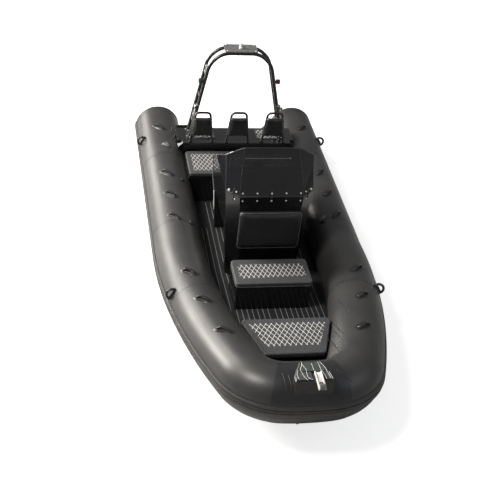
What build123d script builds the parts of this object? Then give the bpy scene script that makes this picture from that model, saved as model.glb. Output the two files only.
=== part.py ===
from build123d import *
import os
from math import radians, sin, cos, tan, sqrt

# Rigid inflatable boat, 5.2 m long. +X runs to the bow, +Y to port, +Z up.
# The origin is on the centreline, where the transom's aft face meets the waterline.

# Inflatable collar
tube_r = 250.0            # outer radius of the air tube
tube_y = 800.0            # half distance between the side tubes
tube_z = 300.0            # height of the tube's centreline over the waterline
tube_stern_x = -360.0     # where the round of the side tubes ends, aft of the transom
cone_length = 280.0       # tapered stern cone
cone_tip_r = 70.0
cone_round_r = 50.0
sheer_x = 2221.0          # the run turns upwards here
sheer_angle = 5.445
sheer_bend_r = 1000.0
shoulder_angle = 20.055   # first gentle turn inwards
corner_angle = 64.135     # tight bow corner
corner_r = 350.0
nose_r = 1809.0           # slow curve across the bow
strake_t = 14.0           # outer rub strake
strake_half_h = 55.0
patch_t = 5.0             # reinforcing patches glued on the tube

# Rigid hull
deck_z = 130.0            # cockpit sole
hull_overrun = 150.0      # run past a cut
transom_rake = 12.0
transom_t = 50.0
transom_top_z = 470.0
transom_notch_z = 370.0
transom_notch_half_w = 330.0
mat_t = 6.0               # foam mat on the sole
mat_aft_gap = 20.0
motor_pad_t = 12.0
motor_pad_half_w = 190.0
motor_pad_h = 260.0
eye_rod_r = 6.0
eye_ring_r = 28.0
stern_eye_inset = 30.0    # from the tube's inner side to the eye's middle
stern_eye_z = 230.0
rail_w = 28.0             # lifting rails under the hull
rail_share = 0.52         # of the way from the keel to the chine

# Bench across the stern
bench_front_x = 1014.0
bench_top_z = 503.0       # top of the pad
bench_back_x = 523.0      # forward face of the back panel
bench_back_t = 70.0
bench_back_top_z = 583.0
bench_back_half_w = 655.0
bench_back_corner = 50.0
pad_t = 45.0              # foam pads of all seats
lid_t = 18.0
lid_gap = 0.4             # between a lid and the box below it
locker_wall = 20.0
pad_overhang = 12.0       # a pad's edge past its box
tube_clearance = 14.0     # between a moving lid and the tube
hinge_rise = 30.0         # cranked hinges carry the pin over the lid
hinge_r = 6.0
hinge_l = 60.0
hinge_leaf_h = 34.0
hinge_clearance = 0.5
hinge_share = 0.6         # place of the two hinges, of the lid's half width
hinge_gap = 34.0          # between a hinged pad and what stands behind it

# Backrests on hoops
rest_spacing = 400.0
rest_top_z = 955.0
rest_half_w = 80.0       # at the hoop's top
rest_foot_half_w = 122.0 # the legs splay
rest_rod_r = 12.5
rest_bend_r = 45.0
rest_pad_t = 40.0
rest_pad_h = 235.0
rest_pad_top_gap = 50.0
rest_foot_r = 26.0
rest_foot_t = 6.0

# Roll bar
arch_rod_r = 19.0
arch_foot_x = 385.0
arch_foot_y = 520.0
arch_knee_z = 1420.0
arch_knee_y = 340.0
arch_top_z = 1560.0
arch_top_y = 205.0
arch_rake_x = 120.0       # how far the top leans aft of the feet
arch_bend_r = 230.0
arch_pitch_x = 150.0      # between the two hoops
arch_foot_r = 38.0
arch_foot_t = 8.0
arch_plate_t = 10.0
arch_plate_margin = 25.0
light_r = 22.0
light_h = 60.0
nav_size = 46.0
nav_z = 1210.0

# Steering console
console_aft_x = 1350.0    # lip of the dash
console_foot_x = 1460.0   # aft face at the sole
console_front_x = 2390.0
console_half_w = 420.0    # at the top
console_foot_half_w = 350.0
console_top_z = 1110.0
console_lip_z = 690.0
console_knee_z = 580.0
console_dash_z = 790.0
console_dash_x = 1420.0   # foot of the dash slope
console_brow_x = 1960.0   # top of the dash slope
console_corner = 115.0
console_edge_r = 22.0
recess_aft_x = 1500.0     # foot recess along each side
recess_front_x = 2190.0
recess_top_z = 640.0
recess_half_w = 235.0
recess_r = 60.0
shield_t = 6.0
shield_top_z = 1510.0
shield_rake = 225.0       # how far the windshield's top leans aft
shield_side_x = 2120.0    # outer corner of its top edge
shield_side_z = 1415.0
shield_wing_x = 1400.0    # aft end of the side wings
shield_wing_z = 955.0
shield_top_narrow = 5.0
shield_corner_narrow = 43.0
bracket_spacing = 138.0
bracket_w = 24.0
bracket_h = 60.0          # of each half, on the console and on the sheet
bracket_t = 5.0
rest_front_z_low = 560.0
rest_front_z_high = 980.0
rest_front_half_w = 305.0
rest_front_t = 85.0
wheel_r = 175.0
wheel_rim_r = 13.0
wheel_hub_r = 45.0
wheel_hub_h = 40.0
wheel_spoke_w = 26.0
wheel_spoke_t = 8.0
wheel_rim_sides = 8
wheel_stand_off = 70.0
helm_r = 55.0
throttle_y = -250.0
throttle_size = 90.0
throttle_lever_h = 150.0

# Seat ahead of the console
seat_aft_x = 2560.0
seat_front_x = 2930.0
seat_half_w = 365.0
seat_top_z = 520.0

# Bow locker
locker_front_gap = 427.0  # from its forward edge to the bow tube's centreline
locker_l = 460.0
locker_aft_half_w = 415.0
locker_front_margin = 8.0 # to the tube
locker_top_z = 534.0

# Bow fittings
foredeck_z = 455.0
foredeck_t = 20.0
foredeck_front_gap = 127.0
foredeck_half_w = 400.0
step_back = 27.0          # the step's reach aft and forward of the bow tube's centreline
step_ahead = 193.0
step_aft_half_w = 88.0
step_half_w = 158.0
step_shoulder = 70.0      # length of the full width
step_rise = 64.0          # over the tube's top
step_edge_r = 12.0
roller_notch_half_w = 50.0
roller_notch_l = 100.0
roller_notch_d = 8.0
roller_y = 35.0
roller_r = 26.0
roller_w = 44.0
roller_wall = 5.0
roller_pin_r = 6.0
roller_gap = 0.5
roller_ahead = 80.0       # of the step's forward edge
bow_eye_back = 77.0
bow_eye_z = 90.0
bow_eye_t = 14.0
bow_eye_r = 34.0
bow_eye_hole_r = 16.0

# Tube fittings
loop_l = 190.0            # lifeline loops, slantwise over the tube
loop_w = 84.0
loop_bar_t = 26.0
loop_rise = 30.0
loop_turn = 50.0
loop_eye_r = 8.0
loop_angle = 84.0         # place round the tube, from outboard over the top
ring_plate_r = 60.0
ring_plate_t = 6.0
ring_rod_r = 8.0
ring_r = 54.0
valve_r = 32.0
valve_t = 10.0
valve_angle = 120.0
ring_angle = 30.0
ring_sides = 8
# places along the side, as shares of its length up to the bow corner
loop_shares = (0.1065, 0.3223, 0.4131, 0.5020, 0.7039, 0.8047, 0.9122)
ring_shares = (0.1312, 0.7370)
valve_shares = (0.3425, 0.5178)

os.makedirs("parts", exist_ok=True)


def deck_at(x, height=deck_z):
    """Height of a surface that is level aft and follows the sheer forward."""
    return height + max(0, x - sheer_x) * tan(radians(sheer_angle))


# Centreline of the port tube, as planes square to the run: x outboard, y up, z forward
s = radians(sheer_angle)
a1 = radians(shoulder_angle)
a2 = radians(shoulder_angle + corner_angle)
quarter = radians(90)
shoulder_r = (tube_y - corner_r * (cos(a1) - cos(a2)) - nose_r * cos(a2)) / (1 - cos(a1))
rise_x = sheer_x - sheer_bend_r * tan(s / 2)
sheer_plane = Plane(
    origin=(rise_x + sheer_bend_r * sin(s), tube_y, tube_z + sheer_bend_r * (1 - cos(s))),
    x_dir=(cos(s), 0, sin(s)),
    z_dir=(-sin(s), 0, cos(s)),
)


def run_plane(point, turn):
    """Plane square to the tilted run at a point of it, where the run has turned inwards."""
    ahead, out, up = sheer_plane.x_dir, sheer_plane.y_dir, sheer_plane.z_dir
    return Plane(
        origin=sheer_plane.from_local_coords(Vector(*point)),
        x_dir=ahead * sin(turn) + out * cos(turn),
        z_dir=ahead * cos(turn) - out * sin(turn),
    )


runs = [
    {"plane": Plane(origin=(tube_stern_x, tube_y, tube_z), x_dir=(0, 1, 0), z_dir=(1, 0, 0)),
     "length": rise_x - tube_stern_x},
    {"plane": Plane(origin=(rise_x, tube_y, tube_z), x_dir=(0, 1, 0), z_dir=(1, 0, 0)),
     "axis": Axis((rise_x, tube_y, tube_z + sheer_bend_r), (0, -1, 0)), "angle": sheer_angle},
]
u, v = 0, 0
for radius, start, end in ((shoulder_r, 0, a1), (corner_r, a1, a2), (nose_r, a2, quarter)):
    centre = (u - radius * sin(start), v - radius * cos(start))
    runs.append({
        "plane": run_plane((u, v), start),
        "axis": Axis(sheer_plane.from_local_coords(Vector(*centre)), -sheer_plane.z_dir),
        "angle": (end - start) / radians(1), "radius": radius, "start": start,
        "centre": centre,
    })
    u, v = centre[0] + radius * sin(end), centre[1] + radius * cos(end)
nose_point = sheer_plane.from_local_coords(Vector(u, v))
side_length = sheer_plane.from_local_coords(Vector(shoulder_r * sin(a1), 0)).X - tube_stern_x


def inner_half_w(x):
    """Half the clear width between the tubes at a length x on the shoulder run."""
    ahead = max(0, x - sheer_plane.origin.X) / cos(s)
    return tube_y - shoulder_r + sqrt((shoulder_r - tube_r) ** 2 - ahead**2)


# Places at the bow, from the middle of the bow tube
locker_front_x = nose_point.X - locker_front_gap
locker_aft_x = locker_front_x - locker_l
locker_front_half_w = inner_half_w(locker_front_x) - locker_front_margin
foredeck_front_x = nose_point.X - foredeck_front_gap
step_aft_x = nose_point.X - step_back
step_front_x = nose_point.X + step_ahead
step_top_z = nose_point.Z + tube_r + step_rise
roller_x = step_front_x + roller_ahead
bow_eye_x = nose_point.X - bow_eye_back


def tube_plane(x, turn_angle):
    """Plane on the port tube's surface at a length x, z pointing away from the tube."""
    if x < rise_x:
        base, ahead, out, up = (Vector(x, tube_y, tube_z), Vector(1, 0, 0),
                                Vector(0, 1, 0), Vector(0, 0, 1))
    else:
        along = (x - rise_x) / cos(s)
        turn = min(along / shoulder_r, a1)
        centre = runs[2]["centre"]
        base = sheer_plane.from_local_coords(
            Vector(centre[0] + shoulder_r * sin(turn), centre[1] + shoulder_r * cos(turn)))
        ahead = sheer_plane.x_dir * cos(turn) - sheer_plane.y_dir * sin(turn)
        out = sheer_plane.x_dir * sin(turn) + sheer_plane.y_dir * cos(turn)
        up = sheer_plane.z_dir
    away = out * cos(radians(turn_angle)) + up * sin(radians(turn_angle))
    return Plane(origin=base + away * tube_r, x_dir=ahead, z_dir=away)


loop_places = [tube_stern_x + side_length * share for share in loop_shares]
ring_places = [tube_stern_x + side_length * share for share in ring_shares]
valve_places = [tube_stern_x + side_length * share for share in valve_shares]

# Air tube: two sides joined round the bow
with BuildPart() as tube_collar:
    for run in runs:
        with BuildSketch(run["plane"]):
            Circle(tube_r)
        if "axis" in run:
            revolve(axis=run["axis"], revolution_arc=run["angle"])
        else:
            extrude(amount=run["length"])
    mirror(about=Plane.XZ)
tube_collar.part.label = "tube_collar"
export_step(tube_collar.part, "parts/tube_collar.step")

# Stern cones of the tubes
with BuildPart() as tube_cones:
    with BuildSketch(Plane.XZ.offset(-tube_y)):
        with BuildLine():
            cone_x = tube_stern_x - cone_length
            outline = Polyline((tube_stern_x, tube_z), (tube_stern_x, tube_z + tube_r),
                               (cone_x, tube_z + cone_tip_r), (cone_x, tube_z), close=True)
        make_face()
    revolve(axis=Axis((0, tube_y, tube_z), (1, 0, 0)))
    fillet(tube_cones.edges().filter_by(GeomType.CIRCLE).sort_by(Axis.X)[0], cone_round_r)
    mirror(about=Plane.XZ)
tube_cones.part.label = "tube_cones"
export_step(tube_cones.part, "parts/tube_cones.step")


# Rub strake along the outer side of the collar
with BuildPart() as rub_strake:
    for run in runs:
        with BuildSketch(run["plane"]):
            Circle(tube_r + strake_t)
            Circle(tube_r, mode=Mode.SUBTRACT)
            with Locations((tube_r, 0)):
                Rectangle(tube_r, 2 * strake_half_h, mode=Mode.INTERSECT)
        if "axis" in run:
            revolve(axis=run["axis"], revolution_arc=run["angle"])
        else:
            extrude(amount=run["length"])
    mirror(about=Plane.XZ)
rub_strake.part.label = "rub_strake"
export_step(rub_strake.part, "parts/rub_strake.step")


# Hull bottom: a V with chines, lofted through stations and cut to the tubes and the sole
hull_length = nose_point.X
stations = [
    # x, keel height, chine half width, chine height, side half width, side height, as shares
    # of hull_length, deck_z, tube_y, deck_z, tube_y, tube_z
    {"x_share": -0.035, "keel_share": -1.69, "chine_w_share": 0.800, "chine_z_share": 0.00,
     "side_w_share": 0.875, "side_z_share": 0.53},
    {"x_share": 0.28, "keel_share": -1.69, "chine_w_share": 0.800, "chine_z_share": 0.00,
     "side_w_share": 0.875, "side_z_share": 0.53},
    {"x_share": 0.51, "keel_share": -1.69, "chine_w_share": 0.785, "chine_z_share": 0.09,
     "side_w_share": 0.875, "side_z_share": 0.57},
    {"x_share": 0.67, "keel_share": -1.58, "chine_w_share": 0.720, "chine_z_share": 0.35,
     "side_w_share": 0.830, "side_z_share": 0.80},
    {"x_share": 0.785, "keel_share": -1.23, "chine_w_share": 0.595, "chine_z_share": 0.73,
     "side_w_share": 0.715, "side_z_share": 0.95},
    {"x_share": 0.878, "keel_share": -0.62, "chine_w_share": 0.440, "chine_z_share": 1.15,
     "side_w_share": 0.575, "side_z_share": 1.07},
    {"x_share": 0.935, "keel_share": 0.08, "chine_w_share": 0.295, "chine_z_share": 1.50,
     "side_w_share": 0.450, "side_z_share": 1.14},
    {"x_share": 0.982, "keel_share": 0.85, "chine_w_share": 0.140, "chine_z_share": 1.81,
     "side_w_share": 0.275, "side_z_share": 1.20},
    {"x_share": 1.006, "keel_share": 1.46, "chine_w_share": 0.040, "chine_z_share": 2.02,
     "side_w_share": 0.100, "side_z_share": 1.26},
]

transom_plane = Plane(
    origin=(0, 0, 0), x_dir=(0, -1, 0),
    z_dir=(-cos(radians(transom_rake)), 0, -sin(radians(transom_rake))),
)

with BuildPart() as hull:
    for row in stations:
        keel = row["keel_share"] * deck_z
        chine = (row["chine_w_share"] * tube_y, row["chine_z_share"] * deck_z)
        side = (row["side_w_share"] * tube_y, row["side_z_share"] * tube_z)
        # a lifting rail steps out of the bottom between keel and chine
        rise = (chine[1] - keel) / chine[0]
        rail_y = rail_share * chine[0]
        rail_out = rail_w * row["chine_w_share"]
        rail = [(rail_y, keel + rise * rail_y), (rail_y + rail_out, keel + rise * rail_y),
                (rail_y + rail_out, keel + rise * (rail_y + rail_out)), chine, side]
        with BuildSketch(Plane.YZ.offset(row["x_share"] * hull_length)):
            with BuildLine():
                Polyline((0, keel), *rail, *[(-y, z) for y, z in reversed(rail)], close=True)
            make_face()
    loft(ruled=True)
    add(tube_collar.part, mode=Mode.SUBTRACT)
    # everything over the sole is cut away between the tubes
    with BuildSketch(Plane.XZ.offset(-tube_y)):
        with BuildLine():
            Polyline((-hull_overrun, deck_z), (sheer_x, deck_z),
                     (hull_length, deck_at(hull_length)), (hull_length, tube_z + tube_y),
                     (-hull_overrun, tube_z + tube_y), close=True)
        make_face()
    extrude(amount=2 * tube_y, mode=Mode.SUBTRACT)
    split(bisect_by=transom_plane, keep=Keep.BOTTOM)
hull.part.label = "hull"
export_step(hull.part, "parts/hull.step")

# Foam mat over the whole sole
with BuildPart() as deck_mat:
    mat_half_w = tube_y - tube_r / 2
    with BuildSketch(Plane.XZ.offset(-mat_half_w)):
        with BuildLine():
            mat_x = transom_t + mat_aft_gap
            Polyline((mat_x, deck_z), (sheer_x, deck_z), (locker_front_x, deck_at(locker_front_x)),
                     (locker_front_x, deck_at(locker_front_x) + mat_t), (sheer_x, deck_z + mat_t),
                     (mat_x, deck_z + mat_t), close=True)
        make_face()
    extrude(amount=2 * mat_half_w)
    add(tube_collar.part, mode=Mode.SUBTRACT)
deck_mat.part.label = "deck_mat"
export_step(deck_mat.part, "parts/deck_mat.step")

# Transom board with its motor notch
with BuildPart() as transom:
    with BuildSketch(transom_plane):
        with BuildLine():
            Polyline((-tube_y, 0), (tube_y, 0), (tube_y, transom_top_z),
                     (transom_notch_half_w + transom_top_z - transom_notch_z, transom_top_z),
                     (transom_notch_half_w, transom_notch_z),
                     (-transom_notch_half_w, transom_notch_z),
                     (-transom_notch_half_w - transom_top_z + transom_notch_z, transom_top_z),
                     (-tube_y, transom_top_z), close=True)
        make_face()
    extrude(amount=-transom_t)
    add(tube_collar.part, mode=Mode.SUBTRACT)
    with BuildSketch(Plane.XZ.offset(-tube_y)):
        with BuildLine():
            Polyline((-hull_overrun, -hull_overrun), (hull_overrun, -hull_overrun),
                     (hull_overrun, deck_z), (-hull_overrun, deck_z), close=True)
        make_face()
    extrude(amount=2 * tube_y, mode=Mode.SUBTRACT)
transom.part.label = "transom"
export_step(transom.part, "parts/transom.step")

# Pad that the motor clamps bear on
with BuildPart() as motor_pad:
    with BuildSketch(transom_plane):
        with Locations((0, transom_notch_z - motor_pad_h / 2)):
            RectangleRounded(2 * motor_pad_half_w, motor_pad_h, motor_pad_t)
    extrude(amount=motor_pad_t)
motor_pad.part.label = "motor_pad"
export_step(motor_pad.part, "parts/motor_pad.step")

# Stern eyes: ring bolts on the transom's aft face
with BuildPart() as stern_eyes:
    for side in (-1, 1):
        eye_plane = Plane(
            origin=transom_plane.from_local_coords(
                Vector(side * (tube_y - tube_r - stern_eye_inset), stern_eye_z)),
            x_dir=transom_plane.x_dir, z_dir=transom_plane.z_dir)
        with BuildSketch(eye_plane):
            Circle(eye_ring_r)
        extrude(amount=motor_pad_t / 2)
        with BuildSketch(Plane(origin=eye_plane.origin + eye_plane.z_dir * eye_ring_r / 2,
                               x_dir=eye_plane.z_dir, z_dir=eye_plane.x_dir)):
            with Locations((0, eye_ring_r / 2)):
                Circle(eye_rod_r)
        revolve(axis=Axis(eye_plane.origin + eye_plane.z_dir * eye_ring_r / 2,
                          eye_plane.x_dir), revolution_arc=360)
stern_eyes.part.label = "stern_eyes"
export_step(stern_eyes.part, "parts/stern_eyes.step")


# Bench box: walls and floor under the lid, open at the top
box_top_z = bench_top_z - pad_t - lid_t - lid_gap
with BuildPart() as bench_box:
    with BuildSketch(Plane.XY.offset(deck_z + mat_t)):
        with BuildLine():
            Polyline((bench_back_x, -tube_y), (bench_front_x - pad_overhang, -tube_y),
                     (bench_front_x - pad_overhang, tube_y), (bench_back_x, tube_y), close=True)
        make_face()
    extrude(amount=box_top_z - deck_z - mat_t)
    add(tube_collar.part, mode=Mode.SUBTRACT)
    bench_inner_half_w = tube_y - tube_r - locker_wall
    bench_depth = bench_front_x - pad_overhang - bench_back_x - 2 * locker_wall
    with BuildSketch(Plane.XY.offset(deck_z + mat_t + locker_wall)):
        with Locations((bench_back_x + locker_wall + bench_depth / 2, 0)):
            Rectangle(bench_depth, 2 * bench_inner_half_w)
    extrude(amount=box_top_z, mode=Mode.SUBTRACT)
bench_box.part.label = "bench_box"
export_step(bench_box.part, "parts/bench_box.step")

# Bench lid, hinged along its aft edge
bench_lid_z = box_top_z + lid_gap
bench_lid_half_w = tube_y - sqrt(tube_r**2 - (bench_lid_z - tube_z) ** 2) - tube_clearance
bench_pad_x = bench_back_x + hinge_gap
with BuildPart() as bench_lid:
    bench_lid_x = bench_back_x + tube_clearance
    with BuildSketch(Plane.XY.offset(bench_lid_z)):
        with Locations(((bench_lid_x + bench_front_x - pad_overhang) / 2, 0)):
            Rectangle(bench_front_x - pad_overhang - bench_lid_x, 2 * bench_lid_half_w)
    extrude(amount=lid_t)
    # cranked hinge leaves, each with a knuckle round the pin's axis
    bench_pin_z = bench_lid_z + lid_t + hinge_rise
    for side in (-hinge_share, hinge_share):
        with BuildSketch(Plane.XZ.offset(-side * bench_lid_half_w - hinge_l / 2)):
            with Locations((bench_lid_x, (bench_pin_z + bench_lid_z) / 2)):
                Rectangle(2 * hinge_r, bench_pin_z - bench_lid_z)
            with Locations((bench_lid_x, bench_pin_z)):
                Circle(hinge_r)
        extrude(amount=hinge_l)
bench_lid.part.label = "bench_lid"
export_step(bench_lid.part, "parts/bench_lid.step")

with BuildPart() as bench_pad:
    with BuildSketch(Plane.XY.offset(bench_lid_z + lid_t)):
        with Locations(((bench_pad_x + bench_front_x) / 2, 0)):
            RectangleRounded(bench_front_x - bench_pad_x, 2 * bench_lid_half_w, tube_clearance)
    extrude(amount=pad_t)
    fillet(bench_pad.edges().group_by(Axis.Z)[-1], pad_overhang)
bench_pad.part.label = "bench_pad"
export_step(bench_pad.part, "parts/bench_pad.step")

# Back panel of the bench, lying on the tubes' shoulders
with BuildPart() as bench_back:
    with BuildSketch(Plane.YZ.offset(bench_back_x)):
        with BuildLine():
            Polyline((-bench_back_half_w, deck_z + mat_t), (bench_back_half_w, deck_z + mat_t),
                     (bench_back_half_w, bench_back_top_z - bench_back_corner),
                     (bench_back_half_w - bench_back_corner, bench_back_top_z),
                     (bench_back_corner - bench_back_half_w, bench_back_top_z),
                     (-bench_back_half_w, bench_back_top_z - bench_back_corner), close=True)
        make_face()
    extrude(amount=-bench_back_t)
    add(tube_collar.part, mode=Mode.SUBTRACT)
    # outer knuckles of the lid's hinges, on arms from the panel
    for side in (-hinge_share, hinge_share):
        for way in (-1, 1):
            knuckle_y = side * bench_lid_half_w + way * (hinge_l + hinge_clearance)
            with BuildSketch(Plane.XZ.offset(-knuckle_y - hinge_l / 2)):
                with Locations(((bench_back_x + bench_lid_x) / 2, bench_pin_z)):
                    Rectangle(bench_lid_x - bench_back_x, 2 * hinge_r)
                with Locations((bench_lid_x, bench_pin_z)):
                    Circle(hinge_r)
            extrude(amount=hinge_l)
bench_back.part.label = "bench_back"
export_step(bench_back.part, "parts/bench_back.step")

# Aft locker top that carries the roll bar
aft_shelf_x = arch_foot_x - arch_pitch_x - arch_foot_r - pad_overhang
with BuildPart() as aft_shelf:
    with BuildSketch(Plane.XY.offset(deck_z + mat_t)):
        with Locations(((aft_shelf_x + bench_back_x - bench_back_t) / 2, 0)):
            Rectangle(bench_back_x - bench_back_t - aft_shelf_x, 2 * bench_back_half_w)
    extrude(amount=bench_back_top_z - deck_z - mat_t)
    add(tube_collar.part, mode=Mode.SUBTRACT)
aft_shelf.part.label = "aft_shelf"
export_step(aft_shelf.part, "parts/aft_shelf.step")

# Three backrest hoops, standing on the back panel
rest_base_z = bench_back_top_z
rest_centre_x = bench_back_x - bench_back_t / 2
rest_rise = rest_top_z - rest_rod_r - rest_base_z
rest_splay = (rest_foot_half_w - rest_half_w) / rest_rise
with BuildPart() as backrest_frames:
    for row in (-1, 0, 1):
        with BuildLine(Plane(origin=(rest_centre_x, row * rest_spacing, rest_base_z),
                             x_dir=(0, 1, 0), z_dir=(1, 0, 0))):
            rest_hoop = FilletPolyline((-rest_foot_half_w, -rest_rod_r), (-rest_half_w, rest_rise),
                                       (rest_half_w, rest_rise), (rest_foot_half_w, -rest_rod_r),
                                       radius=rest_bend_r)
        with BuildSketch(Plane(origin=rest_hoop @ 0, z_dir=rest_hoop % 0)):
            Circle(rest_rod_r)
        sweep(path=rest_hoop)
    split(bisect_by=Plane.XY.offset(rest_base_z), keep=Keep.TOP)
    with BuildSketch(Plane.XY.offset(rest_base_z)):
        for row in (-1, 0, 1):
            with Locations((rest_centre_x, row * rest_spacing)):
                with GridLocations(0, 2 * rest_foot_half_w, 1, 2):
                    Circle(rest_foot_r)
    extrude(amount=rest_foot_t)
backrest_frames.part.label = "backrest_frames"
export_step(backrest_frames.part, "parts/backrest_frames.step")

with BuildPart() as backrest_pads:
    rest_pad_top = rest_top_z - rest_pad_top_gap
    rest_pad_top_w = rest_half_w + rest_rod_r + rest_splay * (rest_pad_top_gap - rest_rod_r)
    rest_pad_low_w = rest_pad_top_w + rest_splay * rest_pad_h
    with BuildSketch(Plane.YZ.offset(rest_centre_x + rest_rod_r)):
        for row in (-1, 0, 1):
            with BuildLine():
                middle = row * rest_spacing
                Polyline((middle - rest_pad_low_w, rest_pad_top - rest_pad_h),
                         (middle + rest_pad_low_w, rest_pad_top - rest_pad_h),
                         (middle + rest_pad_top_w, rest_pad_top),
                         (middle - rest_pad_top_w, rest_pad_top), close=True)
            make_face()
    extrude(amount=rest_pad_t)
backrest_pads.part.label = "backrest_pads"
export_step(backrest_pads.part, "parts/backrest_pads.step")


# Roll bar: two raked hoops side by side
arch_base_z = bench_back_top_z
arch_lean = arch_rake_x / (arch_top_z - arch_base_z)


def arch_plane(foot_x):
    """Plane of one hoop, leaning aft, with x to port and y up."""
    return Plane(origin=(foot_x, 0, arch_base_z), x_dir=(0, 1, 0),
                 z_dir=(1, 0, arch_lean))


arch_up = sqrt(1 + arch_lean**2)
arch_outline = [
    (-arch_foot_y, 0), (-arch_knee_y, (arch_knee_z - arch_base_z) * arch_up),
    (-arch_top_y, (arch_top_z - arch_rod_r - arch_base_z) * arch_up),
    (arch_top_y, (arch_top_z - arch_rod_r - arch_base_z) * arch_up),
    (arch_knee_y, (arch_knee_z - arch_base_z) * arch_up), (arch_foot_y, 0),
]

with BuildPart() as arch_front_hoop:
    with BuildLine(arch_plane(arch_foot_x)):
        hoop = FilletPolyline(*arch_outline, radius=arch_bend_r)
    with BuildSketch(Plane(origin=hoop @ 0, z_dir=hoop % 0)):
        Circle(arch_rod_r)
    sweep(path=hoop)
    split(bisect_by=Plane.XY.offset(arch_base_z + arch_foot_t), keep=Keep.TOP)
arch_front_hoop.part.label = "arch_front_hoop"
export_step(arch_front_hoop.part, "parts/arch_front_hoop.step")

with BuildPart() as arch_rear_hoop:
    with Locations((-arch_pitch_x, 0, 0)):
        add(arch_front_hoop.part)
arch_rear_hoop.part.label = "arch_rear_hoop"
export_step(arch_rear_hoop.part, "parts/arch_rear_hoop.step")

with BuildPart() as arch_feet:
    with BuildSketch(Plane.XY.offset(arch_base_z)):
        for side in (-1, 1):
            with Locations((arch_foot_x - arch_pitch_x / 2, side * arch_foot_y)):
                SlotCenterToCenter(arch_pitch_x, 2 * arch_foot_r)
    extrude(amount=arch_foot_t)
arch_feet.part.label = "arch_feet"
export_step(arch_feet.part, "parts/arch_feet.step")

arch_top_x = arch_foot_x - arch_rake_x
with BuildPart() as arch_top_plate:
    with BuildSketch(Plane.XY.offset(arch_top_z)):
        with Locations((arch_top_x - arch_pitch_x / 2, 0)):
            RectangleRounded(arch_pitch_x + 2 * arch_rod_r, 2 * arch_top_y - 2 * arch_plate_margin,
                             arch_plate_margin)
    extrude(amount=arch_plate_t)
arch_top_plate.part.label = "arch_top_plate"
export_step(arch_top_plate.part, "parts/arch_top_plate.step")

with BuildPart() as masthead_light:
    with BuildSketch(Plane.XY.offset(arch_top_z + arch_plate_t)):
        with Locations((arch_top_x - arch_pitch_x / 2, 0)):
            Circle(light_r)
    extrude(amount=light_h)
    chamfer(masthead_light.edges().group_by(Axis.Z)[-1], light_r / 3)
masthead_light.part.label = "masthead_light"
export_step(masthead_light.part, "parts/masthead_light.step")

# Side lights outside the front hoop's legs
nav_share = (nav_z - arch_base_z) / (arch_knee_z - arch_base_z)
nav_leg_y = arch_foot_y + (arch_knee_y - arch_foot_y) * nav_share
leg_slant = sqrt(1 + ((arch_foot_y - arch_knee_y) / (arch_knee_z - arch_base_z)) ** 2)
nav_leg_x = arch_foot_x - arch_lean * (nav_z - arch_base_z)
with BuildPart() as nav_light_port:
    with BuildSketch(Plane.XY.offset(nav_z)):
        with Locations((nav_leg_x, nav_leg_y + arch_rod_r * leg_slant + nav_size / 2)):
            RectangleRounded(nav_size, nav_size, arch_rod_r / 2)
    extrude(amount=nav_size)
nav_light_port.part.label = "nav_light_port"
export_step(nav_light_port.part, "parts/nav_light_port.step")

with BuildPart() as nav_light_starboard:
    add(nav_light_port.part, mode=Mode.PRIVATE)
    mirror(nav_light_port.part, about=Plane.XZ)
nav_light_starboard.part.label = "nav_light_starboard"
export_step(nav_light_starboard.part, "parts/nav_light_starboard.step")


# Console: a moulding that widens upwards, with a sloping dash and a foot recess in each side
def console_outline(half_w, front):
    """Plan outline with cut front corners."""
    return [(console_aft_x, -half_w), (front - console_corner, -half_w),
            (front, console_corner - half_w), (front, half_w - console_corner),
            (front - console_corner, half_w), (console_aft_x, half_w)]


with BuildPart() as console_body:
    for level, half_w in ((deck_z, console_foot_half_w), (console_top_z, console_half_w)):
        with BuildSketch(Plane.XY.offset(level)):
            with BuildLine():
                Polyline(*console_outline(half_w, console_front_x), close=True)
            make_face()
    loft(ruled=True)
    with BuildSketch(Plane.XZ.offset(-console_half_w)):
        with BuildLine():
            Polyline((console_foot_x, deck_z + mat_t), (sheer_x, deck_z + mat_t),
                     (console_front_x, deck_at(console_front_x) + mat_t),
                     (console_front_x, console_top_z), (console_brow_x, console_top_z),
                     (console_dash_x, console_dash_z), (console_aft_x, console_dash_z),
                     (console_aft_x, console_lip_z), (console_foot_x, console_knee_z),
                     close=True)
        make_face()
    extrude(amount=2 * console_half_w, mode=Mode.INTERSECT)
    with BuildSketch(Plane.XZ.offset(-console_half_w)):
        with Locations(((recess_aft_x + recess_front_x) / 2, deck_z)):
            RectangleRounded(recess_front_x - recess_aft_x, 2 * (recess_top_z - deck_z), recess_r)
    extrude(amount=console_half_w - recess_half_w, mode=Mode.SUBTRACT)
    with BuildSketch(Plane.XZ.offset(recess_half_w)):
        with Locations(((recess_aft_x + recess_front_x) / 2, deck_z)):
            RectangleRounded(recess_front_x - recess_aft_x, 2 * (recess_top_z - deck_z), recess_r)
    extrude(amount=console_half_w - recess_half_w, mode=Mode.SUBTRACT)
console_body.part.label = "console_body"
export_step(console_body.part, "parts/console_body.step")

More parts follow.
